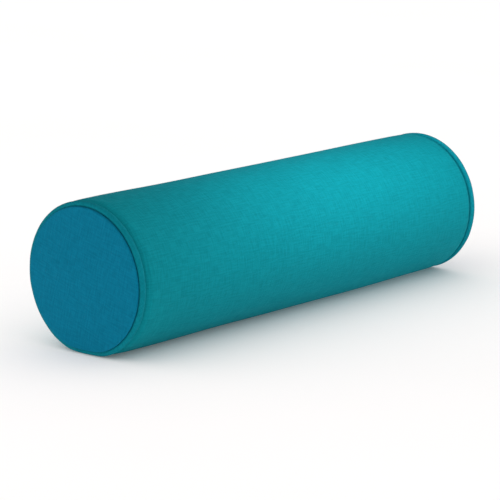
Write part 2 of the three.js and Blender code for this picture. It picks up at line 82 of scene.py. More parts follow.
BODY_RADIUS = BODY_HIGH.y
AXIS_Z = BODY_HIGH.z - BODY_RADIUS
PIPING_X = (PIPING_LOW.x + PIPING_HIGH.x) / 2
PIPING_TUBE = (PIPING_HIGH.x - PIPING_LOW.x) / 2
RIM_RADIUS = PIPING_HIGH.y
PIPING_RADIUS = RIM_RADIUS - PIPING_TUBE
CORD_TUBE = (CORD_HIGH.x - CORD_LOW.x) / 2
JOINTS = {joint["name"]: joint for joint in frame["joints"]}
PULL_PIVOT = Vector(JOINTS["pull_flip"]["pos_m"])
ZIP_ANGLE = math.atan2(PULL_PIVOT.z - AXIS_Z, PULL_PIVOT.y)
PULL_HEIGHT = math.hypot(PULL_PIVOT.z - AXIS_Z, PULL_PIVOT.y)

# ---------------------------------------------------------------- sizes of the sewing

FABRIC = 0.0008
GAP = 0.0003
LAYER = FABRIC + GAP  # from one seam allowance to the next
SEAM_INNER = 0.062  # radius where the seam allowances end
FOLD_RADIUS = 0.00055  # middle of a folded hem's turn
SLOT_HALF_LENGTH = 0.225
SLOT_HALF_WIDTH = 0.0046
SLOT_END_RUN = 0.0035  # the slot narrows to a closed seam over this length
SEAM_HALF_GAP = 0.0001  # half the gap of the closed seam beyond the slot
HEM_EDGE = 0.0126  # how far from the zip's middle a hem reaches
RIM_START, RIM_END = 0.255, 0.262  # the underside rises to the piping between these
SHOULDER_X = 0.2545  # the body panel turns in, and the filling's push fades, from here
SHOULDER_END = 0.2645  # the filling doesn't push the body panel out beyond this
SOFTNESS, RIM_SOFTNESS = 0.008, 0.03  # how gently the flat underside runs out into the round
TAPE_MIDDLE = 0.07222  # height of a tape's middle, from the bolster's axis
TAPE_THICKNESS = 0.0006
TAPE_INNER_EDGE = 0.001
TAPE_OUTER_EDGE = 0.013
COIL_TOP = 0.074715
COIL_BOTTOM = 0.072822
COIL_INNER, COIL_OUTER = 0.00032, 0.0025  # from the zip's middle to a coil's heads and its back
LINER = 0.0005  # thickness of the casing's cotton
ZIP_HOLLOW = 0.0029  # how far the insert gives way behind the zip
TAPE_BEAD = 0.0012  # a tape is thicker this far in from its edges
UNEVEN_DEPTH = 0.00022  # soft unevenness of the body panel
PUCKER_DEPTH = 0.00014  # puckers of the body panel along its end seams
RIM_PUCKER_DEPTH = 0.00016  # puckers of an end panel along its seam

TURN = 2 * math.pi


def number_like(name, description, default, **limits):
    """A number that the user can change."""
    return bpy.props.FloatProperty(name=name, description=description, default=default, **limits)


def length_like(name, description, default):
    """A length that the user can change."""
    return number_like(name, description, default, unit="LENGTH", precision=5)


def colour_like(name, description, default):
    """A colour that the user can change."""
    return bpy.props.FloatVectorProperty(
        name=name, description=description, default=default, subtype="COLOR", min=0.0, max=1.0
    )


class BolsterSewing(bpy.types.PropertyGroup):
    """Sizes of the cloth and its stitches."""

    thread_pitch: length_like("Thread pitch", "Distance between threads of the cover", 0.0009)
    bulge: length_like("Bulge", "How far the filling pushes the cover out at most", 0.0026)
    crown: length_like("Crown", "How far an end panel stands out in its middle", 0.0024)
    stitch: length_like("Stitch", "Length of one stitch beside the zip", 0.0032)
    stitch_gap: length_like("Stitch gap", "Distance from one stitch to the next", 0.0007)
    stitch_thread: length_like("Thread", "Diameter of the sewing thread", 0.0004)
    coil_pitch: length_like("Coil pitch", "Length of one turn of the zip's coil", 0.0012)
    filament: length_like("Filament", "Diameter of the zip's nylon filament", 0.00056)


class BolsterColours(bpy.types.PropertyGroup):
    """Colours of the cloth and the trim."""

    cover: colour_like("Cover", "Body panel", (0.0022, 0.235, 0.28))
    end_panel: colour_like("End panels", "Round end panels", (0.0018, 0.18, 0.297))
    # The piping's colour is the cover's made a little darker: painted shade on the piping at the
    # seams.
    piping: colour_like("Piping", "Strip round the piping cord", (0.0022, 0.208, 0.26))
    cord: colour_like("Cord", "Cotton piping cord", (0.72, 0.67, 0.56))
    liner: colour_like("Casing", "Inner casing", (0.82, 0.80, 0.74))
    wadding: colour_like("Wadding", "Fibre wadding", (0.88, 0.88, 0.86))
    foam: colour_like("Foam", "Foam core", (0.80, 0.66, 0.36))
    tape: colour_like("Zip tape", "Woven zip tapes", (0.008, 0.19, 0.23))
    coil: colour_like("Zip coil", "Nylon coil", (0.010, 0.24, 0.28))
    metal: colour_like("Zip metal", "Slider, pull and stops", (0.58, 0.59, 0.60))
    thread: colour_like("Thread", "Sewing thread", (0.010, 0.25, 0.29))


class BolsterStage(bpy.types.PropertyGroup):
    """The view and the light."""

    azimuth: number_like("Azimuth", "Direction that the camera stands in", -49.9)
    elevation: number_like("Elevation", "Camera's angle above the floor", 11.6)
    distance: length_like("Distance", "From the camera to the bolster's middle", 2.563)
    focal_length: number_like("Focal length", "Of the lens, in millimetres", 176.9)
    shift: bpy.props.FloatVectorProperty(
        name="Shift", description="Of the view, in widths", size=2, default=(-0.0308, -0.0263)
    )
    sky: number_like("Sky", "Strength of the even light", 0.36)
    floor_light: number_like("Floor light", "Strength of the soft light on the floor", 2.16)
    softbox: number_like("Softbox", "Power of the lamp over the bolster, in watts", 1.25)
    fill: number_like("Fill", "Power of the broad lamp at the end, in watts", 3.8)
    table_glow: number_like("Table glow", "Power of the lamp under the table, in watts", 0.2)


# ---------------------------------------------------------------- the bolster's surface


def smooth_step(value, low, high):
    """0 below low, 1 above high, and smooth in between."""
    t = np.clip((np.asarray(value, float) - low) / (high - low), 0, 1)
    return t * t * (3 - 2 * t)


def on_bolster(x, radius, angle):
    """Points at these places along the bolster, distances from its axis and angles from the zip."""
    x, radius, angle = np.broadcast_arrays(x, radius, angle)
    direction = angle + ZIP_ANGLE
    y = radius * np.cos(direction)
    z = radius * np.sin(direction)
    return np.stack([x, y, z + AXIS_Z], axis=-1)


def settled(points):
    """Pulls the underside in, so that it lies flat on the floor as far as the weight presses it."""
    x, y, z = points[..., 0], points[..., 1], points[..., 2] - AXIS_Z
    radius = np.hypot(y, z)
    down = np.where(radius > 1e-9, -z / np.maximum(radius, 1e-9), 0)
    outside = BODY_RADIUS + (RIM_RADIUS - BODY_RADIUS) * smooth_step(abs(x), RIM_START, RIM_END)
    outside = np.maximum(outside, radius + FABRIC / 2)
    room = AXIS_Z / (outside * np.maximum(down, 0.3))
    lowest = AXIS_Z / outside
    softness = SOFTNESS + (RIM_SOFTNESS - SOFTNESS) * smooth_step(abs(x), 0.235, RIM_END)

    def pressed_in(share):
        return 0.5 * (1 - share + np.sqrt((1 - share) ** 2 + softness**2))

    pressed = pressed_in(room) * (1 - lowest) / pressed_in(lowest)
    pressed = pressed * smooth_step(down, 0.5, 0.9)
    scale = np.minimum(1 - pressed, room)
    return np.stack([x, y * scale, z * scale + AXIS_Z], axis=-1)


def waves(seed, round_range, long_range, count):
    """A smooth random unevenness of about -1 to 1 that closes on itself round the bolster."""
    rng = np.random.default_rng(seed)
    rounds = rng.integers(*round_range, size=count)
    longs = rng.uniform(*long_range, size=count)
    phases = rng.uniform(0, TURN, size=count)

    def wave(x, angle):
        total = 0
        for around, along, phase in zip(rounds, longs, phases):
            total = total + np.sin(around * angle + along * x + phase)
        return total / math.sqrt(count)

    return wave


UNEVEN = waves(seed=4, round_range=(1, 5), long_range=(-30, 30), count=9)
PUCKERS = waves(seed=11, round_range=(18, 46), long_range=(-60, 60), count=8)
RIM_PUCKERS = waves(seed=23, round_range=(16, 40), long_range=(0, 1), count=7)
PIPING_WAVER = waves(seed=31, round_range=(5, 24), long_range=(0, 1), count=6)
LUMPS = waves(seed=47, round_range=(6, 18), long_range=(-140, 140), count=9)


def away_from_zip(angle):
    """How far round the bolster from the zip, as a length on its surface."""
    return BODY_RADIUS * abs((np.asarray(angle) + math.pi) % TURN - math.pi)


def zip_hollow(x, angle):
    """How far the insert gives way behind the zip."""
    across = 1 - smooth_step(away_from_zip(angle), 0.012, 0.03)
    return ZIP_HOLLOW * across * (1 - 0.55 * smooth_step(abs(np.asarray(x)), 0.243, 0.253))


# ---------------------------------------------------------------- mesh helpers


def linked(name, data):
    """A new object in the scene."""
    piece = bpy.data.objects.new(name, data)
    bpy.context.scene.collection.objects.link(piece)
    return piece


def new_mesh(name, points, faces):
    """A mesh from points and faces."""
    mesh = bpy.data.meshes.new(name)
    mesh.from_pydata(np.asarray(points, float).reshape(-1, 3).tolist(), [], faces)
    return mesh


def grid_faces(rows, columns):
    """Quads between neighbouring rows and columns of points."""
    corner = np.arange(rows * columns).reshape(rows, columns)
    quads = [corner[:-1, :-1], corner[:-1, 1:], corner[1:, 1:], corner[1:, :-1]]
    return np.stack([q.ravel() for q in quads], axis=-1).tolist()


def reworked(piece, *steps):
    """Takes a piece's mesh through some steps of editing."""
    work = bmesh.new()
    work.from_mesh(piece.data)
    for step in steps:
        step(work)
    work.to_mesh(piece.data)
    work.free()
    return piece


def weld(work, distance=1e-6):
    """Joins points that lie together."""
    bmesh.ops.remove_doubles(work, verts=work.verts, dist=distance)


def drop_slivers(work):
    """Takes out faces and edges without size."""
    bmesh.ops.dissolve_degenerate(work, edges=work.edges, dist=1e-7)


def face_out(work):
    """Turns faces so that they point out."""
    bmesh.ops.recalc_face_normals(work, faces=work.faces)


def close_holes(work):
    """Closes the open ends of a tube."""
    bmesh.ops.holes_fill(work, edges=[edge for edge in work.edges if edge.is_boundary])


def cloth_sheet(name, points, cloth):
    """A piece from a grid of points, with a map named cloth that gives each point's place on the
    flat cloth. Edges that meet are welded, and the map keeps its cut there."""
    mesh = new_mesh(name, points, grid_faces(*points.shape[:2]))
    layer = mesh.uv_layers.new(name="cloth")
    corners = np.empty(len(mesh.loops), int)
    mesh.loops.foreach_get("vertex_index", corners)
    layer.data.foreach_set("uv", cloth.reshape(-1, 2)[corners].astype(np.float32).ravel())
    piece = reworked(linked(name, mesh), weld, drop_slivers)
    mesh.shade_smooth()
    return piece


def applied(piece):
    """The piece with its modifiers made permanent."""
    graph = bpy.context.evaluated_depsgraph_get()
    mesh = bpy.data.meshes.new_from_object(piece.evaluated_get(graph))
    mesh.name = piece.name
    piece.modifiers.clear()
    if piece.type == "MESH":
        piece.data = mesh
        return piece
    name = piece.name
    bpy.data.objects.remove(piece)
    return linked(name, mesh)


def thickened(piece, thickness):
    """Gives a sheet its thickness, half to each side."""
    solid = piece.modifiers.new("thickness", "SOLIDIFY")
    solid.thickness = thickness
    solid.offset = 0
    solid.use_even_offset = True
    return reworked(applied(piece), face_out)


def finished(piece, material, node=None, body="cushion"):
    """Gives a piece its material and its place in the frame, and hides the frame's part that it
    stands for, if any.
    """
    piece.data.materials.clear()
    piece.data.materials.append(material)
    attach(piece, body)
    if node:
        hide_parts(node)


def finished_ends(right, material, node):
    """Finishes a piece of the right end, and its mirror image at the left end."""
    mesh = right.data.copy()
    mesh.transform(Matrix.Scale(-1, 4, Vector((1, 0, 0))))
    mesh.flip_normals()
    left = linked(right.name.replace("right", "left"), mesh)
    for piece, side in ((left, "left"), (right, "right")):
        finished(piece, material, f"{node}_{side}")


def line_lengths(line):
    """How far each point is along a line of points."""
    steps = np.linalg.norm(np.diff(line, axis=0), axis=1)
    return np.concatenate([[0], np.cumsum(steps)])


def unit(ways):
    """Directions of length 1."""
    return ways / np.linalg.norm(ways, axis=1)[:, None]


def along_line(line):
    """The direction of a line at each of its points."""
    return unit(np.gradient(line, axis=0))


def arc(centre, radius, start, end, steps):
    """Points of an arc, with angles in degrees."""
    angles = np.radians(np.linspace(start, end, steps + 1))
    return np.stack([centre[0] + radius * np.cos(angles), centre[1] + radius * np.sin(angles)], 1)


def bezier(p0, p1, p2, p3, steps):
    """Points of a cubic curve."""
    t = np.linspace(0, 1, steps + 1)[:, None]
    p0, p1, p2, p3 = (np.array(p, float) for p in (p0, p1, p2, p3))
    u = 1 - t
    return u**3 * p0 + 3 * u * u * t * p1 + 3 * u * t * t * p2 + t**3 * p3


def straight(start, end, steps):
    """Evenly spaced points from start to end."""
    return np.linspace(np.array(start, float), np.array(end, float), steps + 1)


def joined_line(*stretches):
    """One line from stretches that meet end to end."""
    return np.concatenate([stretches[0]] + [stretch[1:] for stretch in stretches[1:]])


def tube(centres, normals, binormals, radius, sides):
    """Points and faces of a tube with closed ends round a line, from its frame at each point."""
    angles = np.arange(sides) * TURN / sides
    ring = np.cos(angles)[None, :, None] * normals[:, None]
    ring = ring + np.sin(angles)[None, :, None] * binormals[:, None]
    points = centres[:, None] + radius * ring
    index = np.arange(len(centres) * sides).reshape(-1, sides)
    faces = []
    for here, there in zip(index[:-1], index[1:]):
        faces += np.stack([here, np.roll(here, -1), np.roll(there, -1), there], 1).tolist()
    faces += [index[0][::-1].tolist(), index[-1].tolist()]
    return points.reshape(-1, 3), faces


def plain_mesh(name, points, faces):
    """A smooth piece from points and faces."""
    mesh = new_mesh(name, points, faces)
    mesh.shade_smooth()
    return reworked(linked(name, mesh), face_out)


def merged(name, parts):
    """One piece from several (points, faces) parts."""
    points, faces, start = [], [], 0
    for part_points, part_faces in parts:
        points.append(part_points)
        faces += [[corner + start for corner in face] for face in part_faces]
        start += len(part_points)
    return plain_mesh(name, np.concatenate(points), faces)


# ---------------------------------------------------------------- cloth simulation


FILLING_PRESSURE = 300.0
FILLING_FRAMES = 12
CLOTH_STIFFNESS = 5.0


def filled_out(name, points, pinned):
    """A grid of points after the filling has pushed it out, by cloth simulation. pinned marks the
    points that are sewn down. The grid's faces look towards the outside."""
    mesh = new_mesh(name, points, grid_faces(*points.shape[:2]))
    sheet = linked(name, mesh)
    sewn = sheet.vertex_groups.new(name="sewn")
    sewn.add(np.flatnonzero(pinned.ravel()).tolist(), 1.0, "REPLACE")
    cloth = sheet.modifiers.new("filling", "CLOTH")
    settings = cloth.settings
    settings.quality = 5
    settings.mass = 0.25
    settings.tension_stiffness = settings.compression_stiffness = CLOTH_STIFFNESS
    settings.shear_stiffness = CLOTH_STIFFNESS / 3
    settings.bending_stiffness = 0.5
    settings.use_pressure = True
    settings.uniform_pressure_force = FILLING_PRESSURE
    settings.effector_weights.gravity = 0
    settings.vertex_group_mass = "sewn"
    cloth.point_cache.frame_start = 1
    cloth.point_cache.frame_end = FILLING_FRAMES
    scene = bpy.context.scene
    for step in range(1, FILLING_FRAMES + 1):
        scene.frame_set(step)
    result = sheet.evaluated_get(bpy.context.evaluated_depsgraph_get()).to_mesh()
    moved = np.empty(len(result.vertices) * 3)
    result.vertices.foreach_get("co", moved)
    bpy.data.objects.remove(sheet)
    bpy.data.meshes.remove(mesh)
    scene.frame_set(1)
    return moved.reshape(points.shape)


def sampled(field, rows, columns, at_row, at_column):
    """A value read from a grid between its points."""
    r = np.clip(np.interp(at_row, rows, np.arange(len(rows))), 0, len(rows) - 1.001)
    c = np.clip(np.interp(at_column, columns, np.arange(len(columns))), 0, len(columns) - 1.001)
    i, j = r.astype(int), c.astype(int)
    u, v = r - i, c - j
    top = field[i, j] * (1 - v) + field[i, j + 1] * v
    bottom = field[i + 1, j] * (1 - v) + field[i + 1, j + 1] * v
    return top * (1 - u) + bottom * u


def body_bulge(most):
    """A function that gives how far the filling pushes the body panel out at each place."""
    half_length = SHOULDER_END + 0.004
    xs = np.linspace(-half_length, half_length, 92)
    angles = np.linspace(0, TURN, 93)
    x, angle = np.meshgrid(xs, angles, indexing="ij")
    sewn = (abs(x) > half_length - 0.001) | (away_from_zip(angle) < 0.013)
    start = BODY_RADIUS + 0.0002 * UNEVEN(x * 2, angle)
    moved = filled_out("body_filling", on_bolster(x, start, angle), sewn)
    out = np.hypot(moved[..., 1], moved[..., 2] - AXIS_Z) - start
    bulge = np.clip(out / max(np.percentile(out, 95), 1e-6), 0, 1.1)

    def at(px, pangle):
        return most * sampled(bulge, xs, angles, px, np.asarray(pangle) % TURN)

    return at


def end_dome():
    """A function that gives the share of the crown at each place of an end panel, from 0 to 1."""
    radii = np.linspace(0.001, 0.0716, 31)
    angles = np.linspace(0, TURN, 97)
    radius, angle = np.meshgrid(radii, angles, indexing="ij")
    rest = on_bolster(0, radius, angle)
    rest[..., 0] = 0.0002 * (1 - radius / radii[-1]) * (1 + RIM_PUCKERS(0, angle))
    sewn = radius > radii[-2] - 1e-6
    moved = filled_out("end_filling", rest, sewn)
    out = abs(moved[..., 0])
    middle = radii < 0.006  # where the thin faces meet, they move unevenly
    out[middle] = out[~middle][0].mean()
    dome = out / out.max()

    def at(pradius, pangle):
        return sampled(dome, radii, angles, pradius, np.asarray(pangle) % TURN)

    return at


# ---------------------------------------------------------------- shader building


class Shader:
    """Adds nodes to a tree and joins them."""

    def __init__(self, tree):
        self.tree = tree
        self.count = 0

    def add(self, kind, inputs=None, **settings):
        """A node with its settings made and its sockets fed, by a value or by another socket."""
        node = self.tree.nodes.new(kind)
        node.location = (180 * (self.count % 12), -260 * (self.count // 12))
        self.count += 1
        for name, value in settings.items():
            setattr(node, name, value)
        for key, value in (inputs or {}).items():
            self.feed(node.inputs[key], value)
        return node

    def feed(self, socket, value):
        """Joins a socket to another, or sets its value."""
        if isinstance(value, bpy.types.NodeSocket):
            self.tree.links.new(value, socket)
        else:
            socket.default_value = value

    def math(self, operation, *values):
        """The output of a Math node."""
        return self.add("ShaderNodeMath", dict(enumerate(values)), operation=operation).outputs[0]

    def scaled(self, vector, scale):
        """A vector multiplied by another, part by part."""
        node = self.add("ShaderNodeVectorMath", {0: vector, 1: scale}, operation="MULTIPLY")
        return node.outputs[0]

    def towards(self, vector, way):
        """How far a vector goes one way."""
        inputs = {0: vector, 1: way}
        node = self.add("ShaderNodeVectorMath", inputs, operation="DOT_PRODUCT")
        return node.outputs["Value"]

    def noise(self, vector, scale, detail):
        """The value of a noise texture."""
        inputs = {"Vector": vector, "Scale": scale, "Detail": detail}
        return self.add("ShaderNodeTexNoise", inputs).outputs["Fac"]

    def blend(self, factor, a, b):
        """A colour between two colours, which go in at the node's colour sockets."""
        return self.add("ShaderNodeMix", {0: factor, 6: a, 7: b}, data_type="RGBA").outputs[2]

    def ramp(self, value, low, high, to_low=0.0, to_high=1.0):
        """A value moved from one range to another, and kept inside it."""
        inputs = {"Value": value, "From Min": low, "From Max": high}
        inputs.update({"To Min": to_low, "To Max": to_high})
        return self.add("ShaderNodeMapRange", inputs).outputs["Result"]

    def weighted(self, start, *parts):
        """A sum of values, each with its weight, from a start."""
        total = start
        for value, weight in parts:
            total = self.math("MULTIPLY_ADD", value, weight, total)
        return total

    def bump(self, height, strength, distance):
        """A normal from a height."""
        inputs = {"Height": height, "Strength": strength, "Distance": distance}
        return self.add("ShaderNodeBump", inputs).outputs["Normal"]


def effect(name, inputs, *outputs):
    """A new shader node group that works on a vector, with its further inputs and its ends."""
    tree = bpy.data.node_groups.new(name, "ShaderNodeTree")
    tree.interface.new_socket(name="Vector", socket_type="NodeSocketVector")
    for socket, value in inputs.items():
        made = tree.interface.new_socket(name=socket, socket_type="NodeSocketFloat")
        made.default_value = value
    for socket in outputs:
        tree.interface.new_socket(name=socket, in_out="OUTPUT", socket_type="NodeSocketFloat")
    shader = Shader(tree)
    start = shader.add("NodeGroupInput").outputs
    return shader, start, shader.add("NodeGroupOutput").inputs


def linen_weave():
    """Plain weave of uneven threads: its height, and where threads run thick and light."""
    inputs = {"Pitch": 0.0009, "Slub Length": 0.012}
    shader, start, end = effect("Linen weave", inputs, "Height", "Slub")
    place, pitch, length = start["Vector"], start["Pitch"], start["Slub Length"]
    per_thread = shader.math("DIVIDE", 1.0, pitch)
    per_slub = shader.math("DIVIDE", 1.0, length)
    axes = shader.add("ShaderNodeSeparateXYZ", {"Vector": place}).outputs
    drift = shader.noise(place, 90.0, detail=2.0)
    drift = shader.math("MULTIPLY", shader.math("SUBTRACT", drift, 0.5), 1.2)
    halves = []
    for axis in ("X", "Y"):
        threads = shader.math("MULTIPLY", axes[axis], per_thread)
        threads = shader.math("ADD", threads, drift)
        halves.append(shader.math("SINE", shader.math("MULTIPLY", threads, math.pi)))
    warp, weft = halves
    over = shader.math("MULTIPLY", warp, weft)
    lift = shader.math("MULTIPLY_ADD", over, 0.5, 0.5)
    sink = shader.math("SUBTRACT", 1.0, lift)
    warp_height = shader.math("MULTIPLY", shader.math("ABSOLUTE", warp), lift)
    weft_height = shader.math("MULTIPLY", shader.math("ABSOLUTE", weft), sink)
    weave = shader.math("MAXIMUM", warp_height, weft_height)
    slubs = []
    for across, along in ((per_thread, per_slub), (per_slub, per_thread)):
        parts = {"X": across, "Y": along, "Z": 1.0}
        stretch = shader.add("ShaderNodeCombineXYZ", parts).outputs[0]
        slubs.append(shader.noise(shader.scaled(place, stretch), 0.55, detail=1.0))
    slub = shader.math("MULTIPLY", shader.math("ADD", *slubs), 0.5)
    thick = shader.ramp(slub, 0.36, 0.64)
    height = shader.math("MULTIPLY_ADD", thick, 0.45, shader.math("MULTIPLY", weave, 0.7))
    shader.feed(end["Height"], height)
    shader.feed(end["Slub"], thick)
    return shader.tree


def soft_mottle():
    """Broad, faint patches of handling and dye, with fine fluff in them."""
    shader, start, end = effect("Soft mottle", {"Patch Size": 0.08}, "Patches", "Fluff")
    scale = shader.math("DIVIDE", 1.0, start["Patch Size"])
    broad = shader.noise(start["Vector"], scale, detail=3.0)
    fine = shader.noise(start["Vector"], shader.math("MULTIPLY", scale, 45.0), detail=4.0)
    shader.feed(end["Patches"], shader.ramp(broad, 0.3, 0.7))
    shader.feed(end["Fluff"], shader.ramp(fine, 0.35, 0.65))
    return shader.tree


def rubbed_metal():
    """Fine rub marks and dull spots on small metal parts."""
    shader, start, end = effect("Rubbed metal", {"Mark Length": 0.004}, "Marks", "Dull")
    per_length = shader.math("DIVIDE", 1.0, start["Mark Length"])
    parts = {"X": per_length, "Y": 9000.0, "Z": 9000.0}
    stretch = shader.add("ShaderNodeCombineXYZ", parts).outputs[0]
    marks = shader.noise(shader.scaled(start["Vector"], stretch), 1.0, detail=2.0)
    dull = shader.noise(start["Vector"], 500.0, detail=3.0)
    shader.feed(end["Marks"], shader.ramp(marks, 0.35, 0.65))
    shader.feed(end["Dull"], shader.ramp(dull, 0.4, 0.7))
    return shader.tree


EFFECTS = {"Linen weave": linen_weave, "Soft mottle": soft_mottle, "Rubbed metal": rubbed_metal}


class Finish(Shader):
    """A new material, its surface shader and what feeds it."""

    def __init__(self, name):
        self.material = bpy.data.materials.new(name)
        self.material.use_nodes = True
        self.material.node_tree.nodes.clear()
        super().__init__(self.material.node_tree)
        surface = self.add("ShaderNodeBsdfPrincipled")
        self.surface = surface.inputs
        self.add("ShaderNodeOutputMaterial", {"Surface": surface.outputs["BSDF"]})

    def on_cloth(self):
        """The place on the flat cloth."""
        return self.add("ShaderNodeUVMap", uv_map="cloth").outputs["UV"]

    def on_object(self):
        """The place on the piece."""
        return self.add("ShaderNodeTexCoord").outputs["Object"]

    def effect(self, name, place, **inputs):
        """One of the shared effects. Its inputs are named with underscores for spaces."""
        tree = bpy.data.node_groups.get(name) or EFFECTS[name]()
        node = self.add("ShaderNodeGroup", node_tree=tree)
        self.feed(node.inputs["Vector"], place)
        for key, value in inputs.items():
            self.feed(node.inputs[key.replace("_", " ")], value)
        return node.outputs

    def toned(self, tone, dark, light):
        """Feeds the surface's colour: between a dark and a light one."""
        self.feed(self.surface["Base Color"], self.blend(tone, dark, light))

    def made(self, roughness, normal, specular=None, **sockets):
        """Feeds the rest of the surface and gives the material."""
        self.feed(self.surface["Roughness"], self.ramp(roughness[0], 0.0, 1.0, *roughness[1:]))
        if normal:
            self.feed(self.surface["Normal"], self.bump(*normal))
        if specular is not None:
            self.surface["Specular IOR Level"].default_value = specular
        for key, value in sockets.items():
            self.surface[key.replace("_", " ")].default_value = value
        return self.material


def shade(colour, amount):
    """A colour made darker or lighter."""
    return tuple(min(1.0, part * amount) for part in colour) + (1.0,)


def linen(name, colour, pitch):
    """Woven cover cloth with uneven threads."""
    cloth = Finish(name)
    place = cloth.on_cloth()
    weave = cloth.effect("Linen weave", place, Pitch=pitch, Slub_Length=0.008)
    mottle = cloth.effect("Soft mottle", place, Patch_Size=0.09)
    # The tone is lighter where threads stand high and darker where they sink: painted shade between
    # the threads. The slubs and the mottling are the cloth's own.
    threads = (weave["Slub"], 0.34), (weave["Height"], 0.4)
    tone = cloth.weighted(0.0, *threads, (mottle["Patches"], 0.1), (mottle["Fluff"], 0.14))
    cloth.toned(tone, shade(colour, 0.8), shade(colour, 1.2))
    return cloth.made(
        (weave["Slub"], 0.94, 0.82),
        (weave["Height"], 0.6, 0.0003),
        specular=0.05,
        Sheen_Weight=0.03,
        Sheen_Roughness=0.5,
        Sheen_Tint=shade(colour, 2.5),
    )


def plain_cloth(name, colour, pitch):
    """Even, thin plain-woven cloth."""
    cloth = Finish(name)
    place = cloth.on_cloth()
    weave = cloth.effect("Linen weave", place, Pitch=pitch, Slub_Length=0.006)
    mottle = cloth.effect("Soft mottle", place, Patch_Size=0.05)
    # The tone is darker where the threads sink: painted shade between the threads.
    tone = cloth.weighted(0.2, (weave["Height"], 0.5), (mottle["Patches"], 0.2))
    cloth.toned(tone, shade(colour, 0.8), shade(colour, 1.05))
    bump = (weave["Height"], 0.35, 0.0001)
    return cloth.made((weave["Height"], 0.95, 0.85), bump, specular=0.15)


def fibre(name, colour, size, contrast, bump, distance):
    """A soft body seen from outside: wadding's fluff, foam's pores or cotton yarn."""
    soft = Finish(name)
    place = soft.on_object()
    mottle = soft.effect("Soft mottle", place, Patch_Size=size)
    pores = soft.add("ShaderNodeTexVoronoi", {"Vector": place, "Scale": 14.0 / size})
    pit = soft.ramp(pores.outputs["Distance"], 0.0, 0.6)
    # The tone is darker in the pits, where the bump sinks: painted shade in the pits.
    tone = soft.weighted(0.1, (mottle["Fluff"], 0.35), (mottle["Patches"], 0.25), (pit, 0.3))
    soft.toned(tone, shade(colour, 1 - contrast), shade(colour, 1 + contrast / 2))
    return soft.made((mottle["Fluff"], 0.98, 0.88), (pit, bump, distance), specular=0.1)


def nylon(name, colour):
    """Dyed nylon filament with a soft gloss."""
    strand = Finish(name)
    mottle = strand.effect("Soft mottle", strand.on_object(), Patch_Size=0.02)
    tone = strand.weighted(0.25, (mottle["Patches"], 0.5))
    strand.toned(tone, shade(colour, 0.8), shade(colour, 1.2))
    bump = (mottle["Fluff"], 0.15, 0.00003)
    return strand.made((mottle["Fluff"], 0.32, 0.5), bump, specular=0.4)


def metal(name, colour):
    """Nickel-plated cast metal, rubbed by use."""
    cast = Finish(name)
    rub = cast.effect("Rubbed metal", cast.on_object(), Mark_Length=0.005)
    tone = cast.weighted(0.1, (rub["Marks"], 0.4), (rub["Dull"], 0.4))
    cast.toned(tone, shade(colour, 1.12), shade(colour, 0.82))
    return cast.made((rub["Dull"], 0.2, 0.42), (rub["Marks"], 0.2, 0.00002), Metallic=1.0)


def woven_tape(name, colour):
    """Zip tape: fine herringbone in long ribs."""
    tape = Finish(name)
    place = tape.on_cloth()
    axes = tape.add("ShaderNodeSeparateXYZ", {"Vector": place}).outputs
    rib = tape.math("PINGPONG", axes["Y"], 0.0011)
    slant = tape.math("ADD", tape.math("MULTIPLY", rib, 1.4), axes["X"])
    ridge = tape.math("SINE", tape.math("MULTIPLY", slant, TURN / 0.0008))
    ridge = tape.math("MULTIPLY_ADD", ridge, 0.5, 0.5)
    mottle = tape.effect("Soft mottle", place, Patch_Size=0.04)
    # The tone follows the ridges and is darker in the grooves between them: painted shade in the
    # grooves.
    tone = tape.weighted(0.1, (ridge, 0.5), (mottle["Patches"], 0.3))
    tape.toned(tone, shade(colour, 0.7), shade(colour, 1.2))
    return tape.made((ridge, 0.9, 0.75), (ridge, 0.4, 0.0001), specular=0.2)


def zip_metal(context):
    """Metal of the slider, the pull and the stops, made the first time that it is asked for."""
    colour = context.scene.bolster_colours.metal
    return bpy.data.materials.get("zip metal") or metal("zip metal", colour)


def floor_with_painted_glow(name):
    """A pale, matt floor with a faint unevenness and a slight warm tint against the teal light that
    the bolster throws into its shadow. It also glows faintly: painted light that lifts the shadows
    on it.
    """
    table = Finish(name)
    mottle = table.effect("Soft mottle", table.on_object(), Patch_Size=0.6)
    table.toned(mottle["Patches"], (0.875, 0.855, 0.85, 1), (0.895, 0.875, 0.87, 1))
    return table.made(
        (mottle["Fluff"], 0.92, 1.0),
        None,
        specular=0.0,
        # painted light: the floor's own faint glow lifts the shadows on it
        Emission_Color=(1.0, 1.0, 1.0, 1.0),
        Emission_Strength=0.08,
    )


# ---------------------------------------------------------------- body panel


def body_end_line():
    """The body panel's middle line from its shoulder, round the piping and down into the seam."""
    middle = BODY_RADIUS - FABRIC / 2
    hug = PIPING_TUBE + GAP + FABRIC / 2
    allowance = PIPING_X - 1.5 * LAYER
    centre = (PIPING_X, PIPING_RADIUS)
    leaves = 360 - math.degrees(math.acos((allowance - PIPING_X) / hug))
    hugging = arc(centre, hug, 214.0, leaves, 7)
    x, radius = hugging[0]
    pulls = (x - 0.0045, middle), (x - 0.0016, radius + 0.0021)
    shoulder = bezier((SHOULDER_X, middle), *pulls, hugging[0], 11)
    return joined_line(shoulder, hugging, straight(hugging[-1], (allowance, SEAM_INNER), 4))


def body_rows():
    """The body panel's middle line from end to end, as (x, radius) points with their normals."""
    close = np.linspace(SLOT_HALF_LENGTH - 0.002, SLOT_HALF_LENGTH + SLOT_END_RUN + 0.001, 10)
    right = np.concatenate(
        [np.linspace(0.004, 0.218, 54), close, np.linspace(0.232, SHOULDER_X - 0.003, 7)]
    )
    xs = np.concatenate([-right[::-1], right])
    middle = np.stack([xs, 0 * xs + BODY_RADIUS - FABRIC / 2], 1)
    end = body_end_line()
    line = np.concatenate([end[::-1] * (-1, 1), middle, end])
    along = along_line(line)
    return line, np.stack([-along[:, 1], along[:, 0]], 1)


